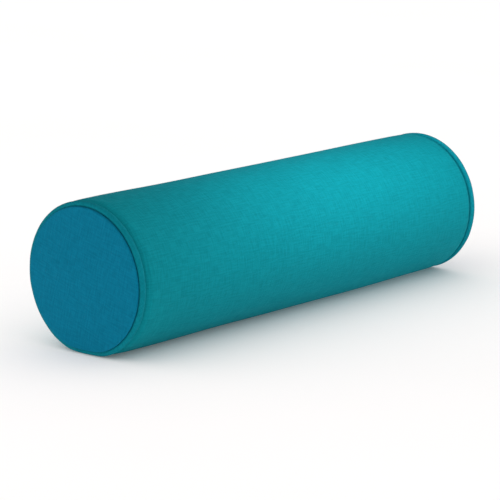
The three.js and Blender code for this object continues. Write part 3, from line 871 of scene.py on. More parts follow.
def body_columns(half_gap):
    """Places across the cloth from one hem's edge round to the other, for each half gap at the
    lips: distance round from the zip, depth under the surface, and distance along the cloth."""
    edge = half_gap + FABRIC / 2 + FOLD_RADIUS
    half_turn = math.pi * BODY_RADIUS
    sides = []
    for t in np.linspace(0, 1, 5)[:-1]:
        place = HEM_EDGE + (edge - HEM_EDGE) * t
        sides.append((place, 2 * FOLD_RADIUS, 2 * edge - place - math.pi * FOLD_RADIUS))
    for degrees in np.linspace(0, 180, 7):
        turn = math.radians(degrees)
        place = edge - FOLD_RADIUS * math.sin(turn)
        depth = FOLD_RADIUS * (1 + math.cos(turn))
        sides.append((place, depth, edge - (math.pi - turn) * FOLD_RADIUS))
    near_lip = [0.0015, 0.004, 0.008, 0.014, 0.022]
    for share in np.concatenate([near_lip, np.linspace(0.035, 1, 56)]):
        place = half_turn * share + edge * (1 - share)
        sides.append((place, 0, place))
    return [np.stack([side[k] + 0 * edge for side in sides], -1) for k in range(3)]


def body_panel_points(bulge):
    """The body panel as a grid of points, and each point's place on the flat cloth."""
    line, normals = body_rows()
    x = line[:, 0]
    opening = 1 - smooth_step(abs(x), SLOT_HALF_LENGTH, SLOT_HALF_LENGTH + SLOT_END_RUN)
    half_gap = SEAM_HALF_GAP + (SLOT_HALF_WIDTH - SEAM_HALF_GAP) * opening
    arc_from_zip, depth, on_cloth = body_columns(half_gap)
    one_side = arc_from_zip / BODY_RADIUS
    angle = np.concatenate([one_side, TURN - one_side[:, ::-1][:, 1:]], axis=1)
    depth = np.concatenate([depth, depth[:, ::-1][:, 1:]], axis=1)
    whole = TURN * BODY_RADIUS
    crosswise = np.concatenate([on_cloth, whole - on_cloth[:, ::-1][:, 1:]], axis=1)
    rows_x, rows_r = line[:, 0][:, None], line[:, 1][:, None]
    on_body = 1 - smooth_step(abs(rows_x), SHOULDER_X, SHOULDER_END)
    free = on_body * smooth_step(away_from_zip(angle), 0.013, 0.05)
    near_seam = smooth_step(abs(rows_x), 0.235, 0.25)
    near_seam = near_seam * (1 - smooth_step(abs(rows_x), 0.257, 0.2625))
    out = bulge(rows_x + 0 * angle, angle) * on_body
    out = out + UNEVEN_DEPTH * free * UNEVEN(rows_x, angle)
    out = out + PUCKER_DEPTH * near_seam * PUCKERS(rows_x, angle)
    flat_x = rows_x - depth * normals[:, 0][:, None]
    radius = rows_r + out - depth * normals[:, 1][:, None]
    points = settled(on_bolster(flat_x, radius, angle))
    lengthwise = line_lengths(line)[:, None] + 0 * angle
    return points, np.stack([lengthwise, crosswise], -1)


class BOLSTER_OT_body_panel(bpy.types.Operator):
    """Sew the body panel: a sleeve whose edges fold in at the zip and turn down at the piping"""

    bl_idname = "bolster.body_panel"
    bl_label = "Body Panel"

    def execute(self, context):
        sewing, colours = context.scene.bolster_sewing, context.scene.bolster_colours
        points, cloth = body_panel_points(body_bulge(sewing.bulge))
        piece = thickened(cloth_sheet("cover_body_panel", points, cloth), FABRIC)
        material = linen("cover linen", colours.cover, sewing.thread_pitch)
        finished(piece, material, "body_panel")
        return {"FINISHED"}


# ---------------------------------------------------------------- end panels and piping


FACE_STEPS = 30
FOLD_STEPS = 8


def round_the_bolster(columns):
    """Angles once round, with the first repeated at the end."""
    return np.linspace(0, TURN, columns + 1)


def end_panel_line():
    """An end panel's middle line from its middle out, over the seam fold and in to its edge."""
    allowance, hug = PIPING_X + 1.5 * LAYER, PIPING_TUBE + GAP + FABRIC / 2
    fold, meets = 0.0013, -42.0  # the fold's radius, and where on the piping it meets it
    leaves = -math.degrees(math.acos((allowance - PIPING_X) / hug))
    beside = arc((PIPING_X, PIPING_RADIUS), hug, meets, leaves, 7)
    centre = arc((PIPING_X, PIPING_RADIUS), hug + fold, meets, meets, 1)[0]
    over = arc(centre, fold, 0, 180 + meets, FOLD_STEPS)
    flat = straight((over[0, 0], 0), over[0], FACE_STEPS)
    return joined_line(flat, over, beside, straight(beside[-1], (allowance, SEAM_INNER), 3))


class BOLSTER_OT_end_panels(bpy.types.Operator):
    """Sew the two crowned end panels, folded back into their seams"""

    bl_idname = "bolster.end_panels"
    bl_label = "End Panels"

    def execute(self, context):
        sewing, colours = context.scene.bolster_sewing, context.scene.bolster_colours
        material = linen("end linen", colours.end_panel, sewing.thread_pitch)
        line = end_panel_line()
        angle = round_the_bolster(144)[None, :]
        radius = line[:, 1][:, None]
        crown = end_dome()(radius + 0 * angle, 0 * radius + angle)
        face = (np.arange(len(line)) <= FACE_STEPS + FOLD_STEPS / 2)[:, None]
        near_rim = smooth_step(radius, 0.056, 0.0685) * (1 - smooth_step(radius, 0.0695, 0.072))
        out = sewing.crown * crown + RIM_PUCKER_DEPTH * near_rim * RIM_PUCKERS(0, angle)
        x = line[:, 0][:, None] + out * face
        points = settled(on_bolster(x, radius, angle))
        reach = line_lengths(line)[:, None]
        cloth = np.stack([reach * np.cos(angle), reach * np.sin(angle)], -1)
        right = thickened(cloth_sheet("cover_end_panel_right", points, cloth), FABRIC)
        finished_ends(right, material, "end_panel")
        return {"FINISHED"}


def piping_line():
    """The piping strip's middle line: one edge, round the cord, and the other edge."""
    tube_radius = PIPING_TUBE - FABRIC / 2
    side = math.degrees(math.asin(LAYER / 2 / tube_radius))
    centre = (PIPING_X, PIPING_RADIUS)
    wrap = arc(centre, tube_radius, 270 - side, -90 + side, 22)
    inner = straight((PIPING_X - LAYER / 2, SEAM_INNER), wrap[0], 4)
    outer = straight(wrap[-1], (PIPING_X + LAYER / 2, SEAM_INNER), 4)
    return joined_line(inner, wrap, outer)


def piping_points():
    """The piping as a grid of points, and its cloth on the bias."""
    line = piping_line()
    angle = round_the_bolster(288)[None, :]
    centre = np.array([PIPING_X, PIPING_RADIUS])
    on_tube = (line[:, 1] > PIPING_RADIUS - PIPING_TUBE)[:, None, None]
    waver = 1 + 0.018 * PIPING_WAVER(0, angle)[..., None] * on_tube
    section = centre + (line - centre)[:, None, :] * waver
    points = settled(on_bolster(section[..., 0], section[..., 1], angle + 0 * section[..., 0]))
    along = angle * PIPING_RADIUS
    across = line_lengths(line)[:, None]
    bias = math.sqrt(0.5)
    return points, np.stack([(along + across) * bias, (along - across) * bias], -1)


CORD_TWISTS = 40


def cord_points(columns=720, sides=21):
    """A cotton cord of three twisted strands, lying inside the piping."""
    angle = round_the_bolster(columns)[None, :]
    around = np.linspace(0, TURN, sides + 1)[:, None]
    strand = abs(np.cos(1.5 * (around - CORD_TWISTS * angle)))
    reach = CORD_TUBE * (0.82 + 0.18 * strand)
    x = PIPING_X + reach * np.cos(around)
    radius = PIPING_RADIUS + reach * np.sin(around)
    points = settled(on_bolster(x, radius, angle + 0 * x))
    cloth = np.stack([angle * PIPING_RADIUS + 0 * x, around * CORD_TUBE + 0 * x], -1)
    return points, cloth


class BOLSTER_OT_piping(bpy.types.Operator):
    """Wrap the piping strips round their cords at both ends"""

    bl_idname = "bolster.piping"
    bl_label = "Piping"

    def execute(self, context):
        sewing, colours = context.scene.bolster_sewing, context.scene.bolster_colours
        # the piping's darker colour is painted shade
        strip = linen("piping linen", colours.piping, sewing.thread_pitch)
        right = thickened(cloth_sheet("piping_strip_right", *piping_points()), FABRIC)
        finished_ends(right, strip, "piping_cover")
        cotton = fibre("piping cotton", colours.cord, 0.012, 0.3, 0.3, 0.0002)
        right = reworked(cloth_sheet("piping_core_right", *cord_points()), face_out)
        finished_ends(right, cotton, "piping_cord")
        return {"FINISHED"}


# ---------------------------------------------------------------- insert


def turned_points(line, columns, lumps=0.0, hollow_from=None):
    """A line of (x, radius) points turned round the bolster's axis, with soft lumps and the
    hollow behind the zip for radii above hollow_from."""
    angle = round_the_bolster(columns)[None, :]
    x, radius = line[:, 0][:, None], line[:, 1][:, None]
    out = lumps * LUMPS(x, angle) * smooth_step(radius, 0.004, 0.03)
    if hollow_from is not None:
        out = out - zip_hollow(x, angle) * (radius > hollow_from)
    points = settled(on_bolster(x + 0 * angle, radius + out, angle + 0 * x))
    reach = line_lengths(line)[:, None]
    cloth = np.stack([reach + 0 * angle, angle * radius.max() + 0 * reach], -1)
    return points, cloth


def crown_line(rim_x, crown, rim_radius, steps=14):
    """Points of a crowned disc from its middle to its rim."""
    share = np.linspace(0, 1, steps + 1)
    return np.stack([rim_x + crown * (1 - share**2), rim_radius * share], 1)


def spaced(half_length, step):
    """Places from end to end of a piece, about a step apart."""
    return np.linspace(-half_length, half_length, 2 * round(half_length / step) + 1)


CASING_TUCK = 0.0014  # how far the casing's tube draws in at its ends
PAD_RIM = 0.0074  # thickness of an end pad at its rim
FOAM_CORNER = 0.0025  # radius of the foam's worn edges


class BOLSTER_OT_casing(bpy.types.Operator):
    """Make the insert's thin inner casing: a tube and two round ends"""

    bl_idname = "bolster.casing"
    bl_label = "Inner Casing"

    def execute(self, context):
        colours = context.scene.bolster_colours
        cotton = plain_cloth("casing cotton", colours.liner, 0.0005)
        xs = spaced(LINER_HIGH.x, 0.006)
        tuck = CASING_TUCK * smooth_step(abs(xs), 0.249, LINER_HIGH.x)
        line = np.stack([xs, LINER_HIGH.y - LINER / 2 - tuck], 1)
        points, cloth = turned_points(line, 120, lumps=0.00006, hollow_from=0)
        tube_piece = thickened(cloth_sheet("casing_body", points, cloth), LINER)
        finished(tube_piece, cotton, "liner_body")
        rim_x = LINER_END_LOW.x + LINER / 2
        crown = LINER_END_HIGH.x - LINER / 2 - rim_x
        points, cloth = turned_points(crown_line(rim_x, crown, LINER_END_HIGH.y - GAP), 120)
        right = thickened(cloth_sheet("casing_end_right", points, cloth), LINER)
        finished_ends(right, cotton, "liner_end")
        return {"FINISHED"}


class BOLSTER_OT_filling(bpy.types.Operator):
    """Make the fibre wadding and the foam core"""

    bl_idname = "bolster.filling"
    bl_label = "Filling"

    def execute(self, context):
        colours = context.scene.bolster_colours
        fluff = fibre("wadding fibre", colours.wadding, 0.02, 0.12, 0.5, 0.0006)
        foam = fibre("core foam", colours.foam, 0.03, 0.25, 0.5, 0.0005)
        self.wrap(fluff)
        self.ends(fluff)
        self.core(foam)
        return {"FINISHED"}

    def wrap(self, fluff):
        """The wadding round the foam."""
        inner, outer = FOAM_HIGH.y + GAP, WADDING_HIGH.y
        xs = spaced(WADDING_HIGH.x, 0.008)
        out = np.stack([xs, 0 * xs + outer - GAP], 1)
        back = np.stack([xs[::-1], 0 * xs + inner], 1)
        line = np.concatenate([out, back, out[:1]])
        points, cloth = turned_points(line, 96, lumps=0.00012, hollow_from=inner + 0.001)
        piece = reworked(cloth_sheet("wadding_round_foam", points, cloth), face_out)
        finished(piece, fluff, "wadding_wrap")

    def ends(self, fluff):
        """The crowned pads of wadding over the foam's ends."""
        inner_x = WADDING_END_LOW.x
        rim = WADDING_END_HIGH.y - 2 * GAP
        rim_x = inner_x + PAD_RIM
        dome = crown_line(rim_x, WADDING_END_HIGH.x - rim_x - GAP, rim)
        edge = straight(dome[-1], (inner_x, rim), 3)
        back = straight(edge[-1], (inner_x, 0), 10)
        points, cloth = turned_points(joined_line(dome, edge, back), 96, lumps=0.00012)
        right = reworked(cloth_sheet("wadding_pad_right", points, cloth), face_out)
        finished_ends(right, fluff, "wadding_end")

    def core(self, foam):
        """The foam core, with its edges a little worn."""
        length, radius, corner = FOAM_HIGH.x, FOAM_HIGH.y, FOAM_CORNER
        end = joined_line(
            straight((length - corner, radius), (length - corner, radius), 1),
            arc((length - corner, radius - corner), corner, 90, 0, 5),
            straight((length, radius - corner), (length, 0), 12),
        )
        xs = spaced(length - corner - 0.004, 0.012)
        middle = np.stack([xs, 0 * xs + radius], 1)
        line = np.concatenate([end[::-1] * (-1, 1), middle, end[1:]])
        points, cloth = turned_points(line, 96)
        piece = reworked(cloth_sheet("foam_cylinder", points, cloth), face_out)
        finished(piece, foam, "foam_core")


# ---------------------------------------------------------------- zip


def at_zip(points):
    """Moves points drawn over the zip to their place: x along it, y across it (upwards when in
    place) and z the height from the bolster's axis."""
    points = np.asarray(points, float)
    across, height = points[..., 1], points[..., 2]
    y = height * math.cos(ZIP_ANGLE) - across * math.sin(ZIP_ANGLE)
    z = height * math.sin(ZIP_ANGLE) + across * math.cos(ZIP_ANGLE)
    return np.stack([points[..., 0], y, z + AXIS_Z], -1)


def tape_section(side):
    """Outline of one zip tape as (distance from the zip, height) points, thicker at its edges."""
    edges = np.linspace(TAPE_INNER_EDGE, TAPE_OUTER_EDGE, 15)
    to_edge = np.minimum(edges - TAPE_INNER_EDGE, TAPE_OUTER_EDGE - edges)
    bead = 1 - to_edge / TAPE_BEAD
    half = TAPE_THICKNESS / 2 * (0.86 + 0.14 * np.clip(bead, 0, 1))
    top = np.stack([side * edges, TAPE_MIDDLE + half], 1)
    bottom = np.stack([side * edges, TAPE_MIDDLE - half], 1)[::-1]
    return np.concatenate([top, bottom, top[:1]])


TUCK, END_TUCK = 0.00055, 0.0009  # how far a tape's edge draws back: under the coil, past the stops
TAPE_RIPPLE = 0.00004


def tape_points(side):
    """One zip tape as a grid of points, and its cloth."""
    section = tape_section(side)
    xs = spaced(TAPE_HIGH.x, 0.0012)
    nearness = (TAPE_OUTER_EDGE - abs(section[:, 0])) / (TAPE_OUTER_EDGE - TAPE_INNER_EDGE)
    from_top = np.maximum(TOP_STOP_LOW.x - xs, xs - TOP_STOP_HIGH.x)
    from_bottom = np.maximum(BOTTOM_STOP_LOW.x - xs, xs - BOTTOM_STOP_HIGH.x)
    between_stops = (xs > TOP_STOP_HIGH.x) & (xs < BOTTOM_STOP_LOW.x)
    most = np.where(between_stops, TUCK, END_TUCK)
    tucked = most * smooth_step(np.minimum(from_top, from_bottom), 0.0004, 0.0022)
    tucked = tucked[:, None] * nearness[None, :] ** 8
    angle = (section[:, 0][None, :] - side * tucked) / BODY_RADIUS
    wave = TAPE_RIPPLE * np.sin(xs * 260 + side)[:, None]
    points = on_bolster(xs[:, None], section[:, 1][None, :] + wave, angle)
    across = line_lengths(section)[None, :] + 0 * points[..., 0]
    return points, np.stack([xs[:, None] + 0 * across, across], -1)


class BOLSTER_OT_zip_tapes(bpy.types.Operator):
    """Weave the two zip tapes"""

    bl_idname = "bolster.zip_tapes"
    bl_label = "Zip Tapes"

    def execute(self, context):
        material = woven_tape("zip tape", context.scene.bolster_colours.tape)
        for name, side in (("upper", 1), ("lower", -1)):
            piece = cloth_sheet(f"woven_tape_{name}", *tape_points(side))
            reworked(piece, close_holes, face_out)
            finished(piece, material, f"zip_tape_{name}")
        return {"FINISHED"}


def coil_parts(side, pitch, filament, turn_points=10, sides=6):
    """One row of coil: a flattened spring whose heads reach towards the other row."""
    radius = filament / 2
    inner, outer = COIL_INNER + radius, COIL_OUTER - radius
    middle_height = (COIL_TOP + COIL_BOTTOM) / 2
    turns = math.floor(2 * (COIL_HIGH.x - radius) / pitch) - 1
    turn = np.linspace(0, TURN * turns, turns * turn_points + 1)
    phase = 0 if side > 0 else math.pi
    x = -COIL_HIGH.x + radius + pitch * (turn + phase) / TURN
    across = (inner + outer) / 2 + (outer - inner) / 2 * np.cos(turn)
    rise = (COIL_TOP - COIL_BOTTOM) / 2 - radius
    height = middle_height + rise * np.sign(np.sin(turn)) * abs(np.sin(turn)) ** 0.7
    centres = np.stack([x, side * across, height], 1)
    along = along_line(centres)
    outward = np.stack([0 * x, side * np.cos(turn), np.sin(turn)], 1)
    outward = unit(outward - (outward * along).sum(1)[:, None] * along)
    points, faces = tube(centres, outward, np.cross(along, outward), radius, sides)
    return at_zip(points), faces


class BOLSTER_OT_zip_coils(bpy.types.Operator):
    """Wind the two rows of nylon coil"""

    bl_idname = "bolster.zip_coils"
    bl_label = "Zip Coils"

    def execute(self, context):
        sewing = context.scene.bolster_sewing
        material = nylon("coil nylon", context.scene.bolster_colours.coil)
        for name, side in (("upper", 1), ("lower", -1)):
            points, faces = coil_parts(side, sewing.coil_pitch, sewing.filament)
            piece = plain_mesh(f"nylon_coil_{name}", points, faces)
            finished(piece, material, f"zip_coil_{name}")
        return {"FINISHED"}


def pressed_plate(name, outlines, thickness, bevel):
    """A plate with rounded edges. Its first outline is the outer one and the others are holes."""
    curve = bpy.data.curves.new(name, "CURVE")
    curve.dimensions = "2D"
    curve.fill_mode = "BOTH"
    curve.extrude = thickness / 2 - bevel
    curve.bevel_depth = bevel
    curve.bevel_resolution = 2
    curve.offset = -bevel
    for hole, outline in enumerate(outlines):
        corners = outline[::-1] if hole else outline
        spline = curve.splines.new("POLY")
        spline.points.add(len(corners) - 1)
        spline.use_cyclic_u = True
        for corner, (x, y) in zip(spline.points, corners):
            corner.co = (x, y, 0, 1)
    return reworked(applied(linked(name, curve)), lambda work: weld(work, 1e-7), face_out)


FLAT = Matrix.Identity(3)
ON_EDGE = Matrix(((1, 0, 0), (0, 0, -1), (0, 1, 0)))  # drawn in x and y, stands in x and z
CROSSWISE = Matrix(((0, 0, 1), (1, 0, 0), (0, 1, 0)))  # drawn in x and y, stands in y and z


def placed(piece, turn, offset=(0, 0, 0)):
    """Turns and moves a plate within the zip's own frame."""
    piece.data.transform(Matrix.Translation(offset) @ turn.to_4x4())
    return piece


def cast_in_one(name, parts, cuts=()):
    """One solid from overlapping parts, with other shapes cut out of it."""
    whole = parts[0]
    for operation, others in (("UNION", parts[1:]), ("DIFFERENCE", cuts)):
        for other in others:
            join = whole.modifiers.new(operation.lower(), "BOOLEAN")
            join.operation = operation
            join.solver = "EXACT"
            join.object = other
            applied(whole)
            bpy.data.objects.remove(other)
    whole.name = name
    whole.data.name = name
    return whole


def put_on_zip(piece):
    """Moves a piece drawn over the zip to its place and smooths its shading."""
    mesh = piece.data
    flat = np.empty(len(mesh.vertices) * 3)
    mesh.vertices.foreach_get("co", flat)
    mesh.vertices.foreach_set("co", at_zip(flat.reshape(-1, 3)).ravel())
    mesh.shade_smooth()
    mesh.set_sharp_from_angle(angle=math.radians(35))
    return reworked(piece, face_out)


def rounded_box(half_length, half_width, radius, steps=5):
    """Outline of a rectangle with round corners."""
    x, y = half_length - radius, half_width - radius
    corners = [((x, y), 0), ((-x, y), 90), ((-x, -y), 180), ((x, -y), 270)]
    return np.concatenate([arc(c, radius, a, a + 90, steps) for c, a in corners])


def circle(centre, radius, steps=24):
    """Outline of a round hole."""
    return arc(centre, radius, 0, 360, steps)[:-1]


def round_bar(name, radius, half_length):
    """A bar across the zip with rounded ends."""
    end = np.array([(half_length, 1e-3), (half_length, 0.8), (half_length - 0.2 * radius, 1.0)])
    y, share = np.concatenate([end * (-1, 1), end[::-1]]).T
    centres = np.stack([0 * y, y, 0 * y], 1)
    reach = radius * share[:, None, None]
    ways = 0 * centres + (1, 0, 0), 0 * centres + (0, 0, 1)
    return plain_mesh(name, *tube(centres, *ways, reach, 20))


SLIDER_HALF_WIDTH = 0.0042
PLATE = 0.0009  # thickness of the slider's plates and of its bridge
POST_X = -0.0033  # the post that parts the coils stands at the slider's mouth
FLANGE_WIDTH = 0.0012
BRIDGE_WIDTH = 0.0016
BAR_RADIUS = 0.00065
UPPER_PLATE = PULL_HEIGHT - BAR_RADIUS - GAP - PLATE / 2  # middle of the slider's upper plate
PLATES_APART = 0.0034  # from one plate to the other, where the coils pass
LOWER_PLATE = UPPER_PLATE - PLATES_APART - PLATE
FLANGE_DEPTH = 0.0021
BRIDGE_UNDERSIDE = PULL_HEIGHT + BAR_RADIUS + GAP


class BOLSTER_OT_slider(bpy.types.Operator):
    """Cast the zip's slider: two plates on a post, with side flanges and a bridge for the pull"""

    bl_idname = "bolster.slider"
    bl_label = "Slider"

    def execute(self, context):
        half_length = (SLIDER_HIGH.x - SLIDER_LOW.x) / 2
        outline = rounded_box(half_length, SLIDER_HALF_WIDTH, 0.0015)
        parts = []
        for name, height in (("upper", UPPER_PLATE), ("lower", LOWER_PLATE)):
            plate = pressed_plate(f"{name}_plate", [outline], PLATE, 0.0002)
            parts.append(placed(plate, FLAT, (0, 0, height)))
        wedge = rounded_box(0.0015, 0.00025, 0.0002, steps=3)
        post = pressed_plate("post", [wedge], PLATES_APART + PLATE, 0.0001)
        parts.append(placed(post, FLAT, (POST_X, 0, (UPPER_PLATE + LOWER_PLATE) / 2)))
        bottom = UPPER_PLATE - PLATE / 2 - FLANGE_DEPTH
        rail = rounded_box(0.0044, (UPPER_PLATE - bottom) / 2, 0.0004, steps=3)
        for side in (1, -1):
            flange = pressed_plate("flange", [rail], FLANGE_WIDTH, 0.00018)
            across = side * (SLIDER_HALF_WIDTH - FLANGE_WIDTH / 2)
            parts.append(placed(flange, ON_EDGE, (0, across, (UPPER_PLATE + bottom) / 2)))
        parts.append(self.bridge())
        piece = cast_in_one("slider_cast", parts)
        self.narrow_tail(piece, half_length)
        put_on_zip(placed(piece, FLAT, (PULL_PIVOT.x, 0, 0)))
        finished(piece, zip_metal(context), "zip_slider", body="slider")
        return {"FINISHED"}

    def bridge(self):
        """The arch that the pull's bar hangs in."""
        outer, inner, bend, hollow_bend = 0.0037, 0.0027, 0.0014, 0.0007
        foot, top = UPPER_PLATE, BRIDGE_UNDERSIDE + PLATE
        shoulder, spring = top - bend, BRIDGE_UNDERSIDE - hollow_bend
        shape = joined_line(
            [(outer, foot), (outer, shoulder)],
            arc((outer - bend, shoulder), bend, 0, 90, 5),
            [(outer - bend, top), (bend - outer, top)],
            arc((bend - outer, shoulder), bend, 90, 180, 5),
            [(-outer, shoulder), (-outer, foot), (-inner, foot), (-inner, spring)],
            arc((hollow_bend - inner, spring), hollow_bend, 180, 90, 4),
            arc((inner - hollow_bend, spring), hollow_bend, 90, 0, 4),
            [(inner, spring), (inner, foot)],
        )
        return placed(pressed_plate("bridge", [shape], BRIDGE_WIDTH, 0.0002), ON_EDGE)

    def narrow_tail(self, piece, half_length):
        """Draws the slider in towards its tail, where the closed coils leave it."""
        for vert in piece.data.vertices:
            if abs(vert.co.y) > 0.001:
                vert.co.y *= 1 - 0.1 * float(smooth_step(vert.co.x, -0.001, half_length))


class BOLSTER_OT_pull(bpy.types.Operator):
    """Cast the pull tab and its cross bar"""

    bl_idname = "bolster.pull"
    bl_label = "Pull Tab"

    def execute(self, context):
        arm, tab, length, thickness = 0.0023, 0.00325, 0.022, 0.001
        neck, full = 0.0038, 0.0069  # the pull widens from the one place to the other
        right = joined_line(
            [(-0.0004, arm), (neck, arm)],
            bezier((neck, arm), (0.0055, arm), (0.0052, tab), (full, tab), 8),
            [(full, tab), (length - tab, tab)],
        )
        tip = arc((length - tab, 0), tab, 90, -90, 18)
        outline = joined_line(right, tip, right[::-1] * (1, -1))[::-1]
        window = rounded_box(0.0025, 0.0011, 0.0005) + (0.0023, 0)
        eye = circle((0.018, 0), 0.00125)
        plate = pressed_plate("pull_plate", [outline, window, eye], thickness, 0.00025)
        bar = round_bar("pull_bar", BAR_RADIUS, arm - 0.0001)
        panel = rounded_box(0.0038, 0.0019, 0.0012) + (0.0112, 0)
        cuts = []
        for side in (1, -1):
            cut = pressed_plate("recess", [panel], 0.0004, 0.00005)
            cuts.append(placed(cut, FLAT, (0, 0, side * thickness / 2)))
        piece = cast_in_one("pull_cast", [plate, bar], cuts)
        lean = Matrix.Rotation(math.radians(3), 3, "Y")
        put_on_zip(placed(piece, lean, (PULL_PIVOT.x, 0, PULL_HEIGHT)))
        finished(piece, zip_metal(context), "zip_pull", body="pull")
        return {"FINISHED"}


class BOLSTER_OT_stops(bpy.types.Operator):
    """Crimp the metal stops on to the ends of the zip"""

    bl_idname = "bolster.stops"
    bl_label = "Stops"

    def execute(self, context):
        material = zip_metal(context)
        flat = math.cos(math.radians(5))  # the middle of a facet lies this share nearer the axis
        low, low_top, high_under, high = (h * flat for h in (0.071, 0.0719, 0.0731, 0.074))
        inner, outer, web = 0.00015, 0.0024, 0.0007

        def jaw(x):
            lower = [(outer, low), (outer, low_top), (x, low_top)]
            return lower + [(x, high_under), (outer, high_under), (outer, high)]

        clamp = np.array([(inner, low)] + jaw(inner + web) + [(inner, high)])
        for name, shape in (("upper", clamp), ("lower", clamp[::-1] * (-1, 1))):
            piece = self.stop(f"clamped_stop_{name}", shape, TOP_STOP_LOW, TOP_STOP_HIGH)
            finished(piece, material, f"zip_top_stop_{name}")
        right = np.array(jaw(0.00065))
        both = np.concatenate([right, right[::-1] * (-1, 1)])
        piece = self.stop("box_stop", both, BOTTOM_STOP_LOW, BOTTOM_STOP_HIGH)
        finished(piece, material, "zip_bottom_stop")
        return {"FINISHED"}

    def stop(self, name, section, low, high):
        """A stop with this section across the zip, from low to high along it."""
        piece = pressed_plate(name, [section], high.x - low.x, 0.00018)
        placed(piece, CROSSWISE, ((low.x + high.x) / 2, 0, 0))
        return put_on_zip(piece)


# ---------------------------------------------------------------- stitches


STITCH_BESIDE = 0.0068  # from the zip's middle to the stitches along the slot
STITCH_BEYOND = 0.0055  # from the slot's end to the stitches across it
END_STITCHES = 4
TACK_THREADS = 8
TACK_PITCH = 0.00036
TACK_HALF_WIDTH = 0.0042


def stitch(start, end, thread, lift):
    """One stitch between two points over the zip, arched so that both its ends sink in."""
    start, end = np.array(start, float), np.array(end, float)
    share = np.linspace(0, 1, 9)
    centres = start + (end - start) * share[:, None]
    centres[:, 2] += lift - (thread * 1.3) * abs(2 * share - 1) ** 5
    along = along_line(centres)
    sideways = unit(np.cross(along, (0, 0, 1.0)))
    return tube(centres, sideways, np.cross(along, sideways), thread / 2, 7)


class BOLSTER_OT_stitching(bpy.types.Operator):
    """Stitch the zip in, round its slot, and tack both ends of the slot"""

    bl_idname = "bolster.stitching"
    bl_label = "Stitching"

    def execute(self, context):
        sewing = context.scene.bolster_sewing
        material = nylon("sewing thread", context.scene.bolster_colours.thread)
        for name, parts in (("topstitching", self.rows), ("bar_tacks", self.tacks)):
            finished(merged(f"zip_{name}", parts(sewing)), material)
        return {"FINISHED"}

    def over(self, x, across):
        """A point on the cover over the zip."""
        return x, across, math.sqrt(BODY_RADIUS**2 - across**2)

    def rows(self, sewing):
        """Stitches along both sides of the slot and across beyond its ends."""
        reach, beside = SLOT_HALF_LENGTH + STITCH_BEYOND, STITCH_BESIDE
        pace = sewing.stitch + sewing.stitch_gap
        count = round(2 * reach / pace)
        pace = 2 * reach / count
        parts = []
        for side in (beside, -beside):
            for k in range(count):
                x = -reach + k * pace + sewing.stitch_gap / 2
                ends = self.over(x, side), self.over(x + pace - sewing.stitch_gap, side)
                parts.append(self.placed_stitch(*ends, sewing.stitch_thread))
        across = np.linspace(-beside, beside, END_STITCHES + 1)
        for end in (-reach, reach):
            for low, high in zip(across[:-1], across[1:]):
                ends = self.over(end, low + GAP), self.over(end, high - GAP)
                parts.append(self.placed_stitch(*ends, sewing.stitch_thread))
        return parts

    def tacks(self, sewing):
        """Close rows of thread across the seam where the slot ends."""
        parts = []
        for end in (-1, 1):
            for k in range(TACK_THREADS):
                x = end * (SLOT_HALF_LENGTH + 0.0012 + TACK_PITCH * k)
                lean = TACK_PITCH / 2 * (-1) ** k
                ends = self.over(x - lean, -TACK_HALF_WIDTH), self.over(x + lean, TACK_HALF_WIDTH)
                parts.append(self.placed_stitch(*ends, sewing.stitch_thread * 0.9))
        return parts

    def placed_stitch(self, start, end, thread):
        """A stitch on the bolster."""
        points, faces = stitch(start, end, thread, lift=0.00008)
        return at_zip(points), faces


# ---------------------------------------------------------------- stage


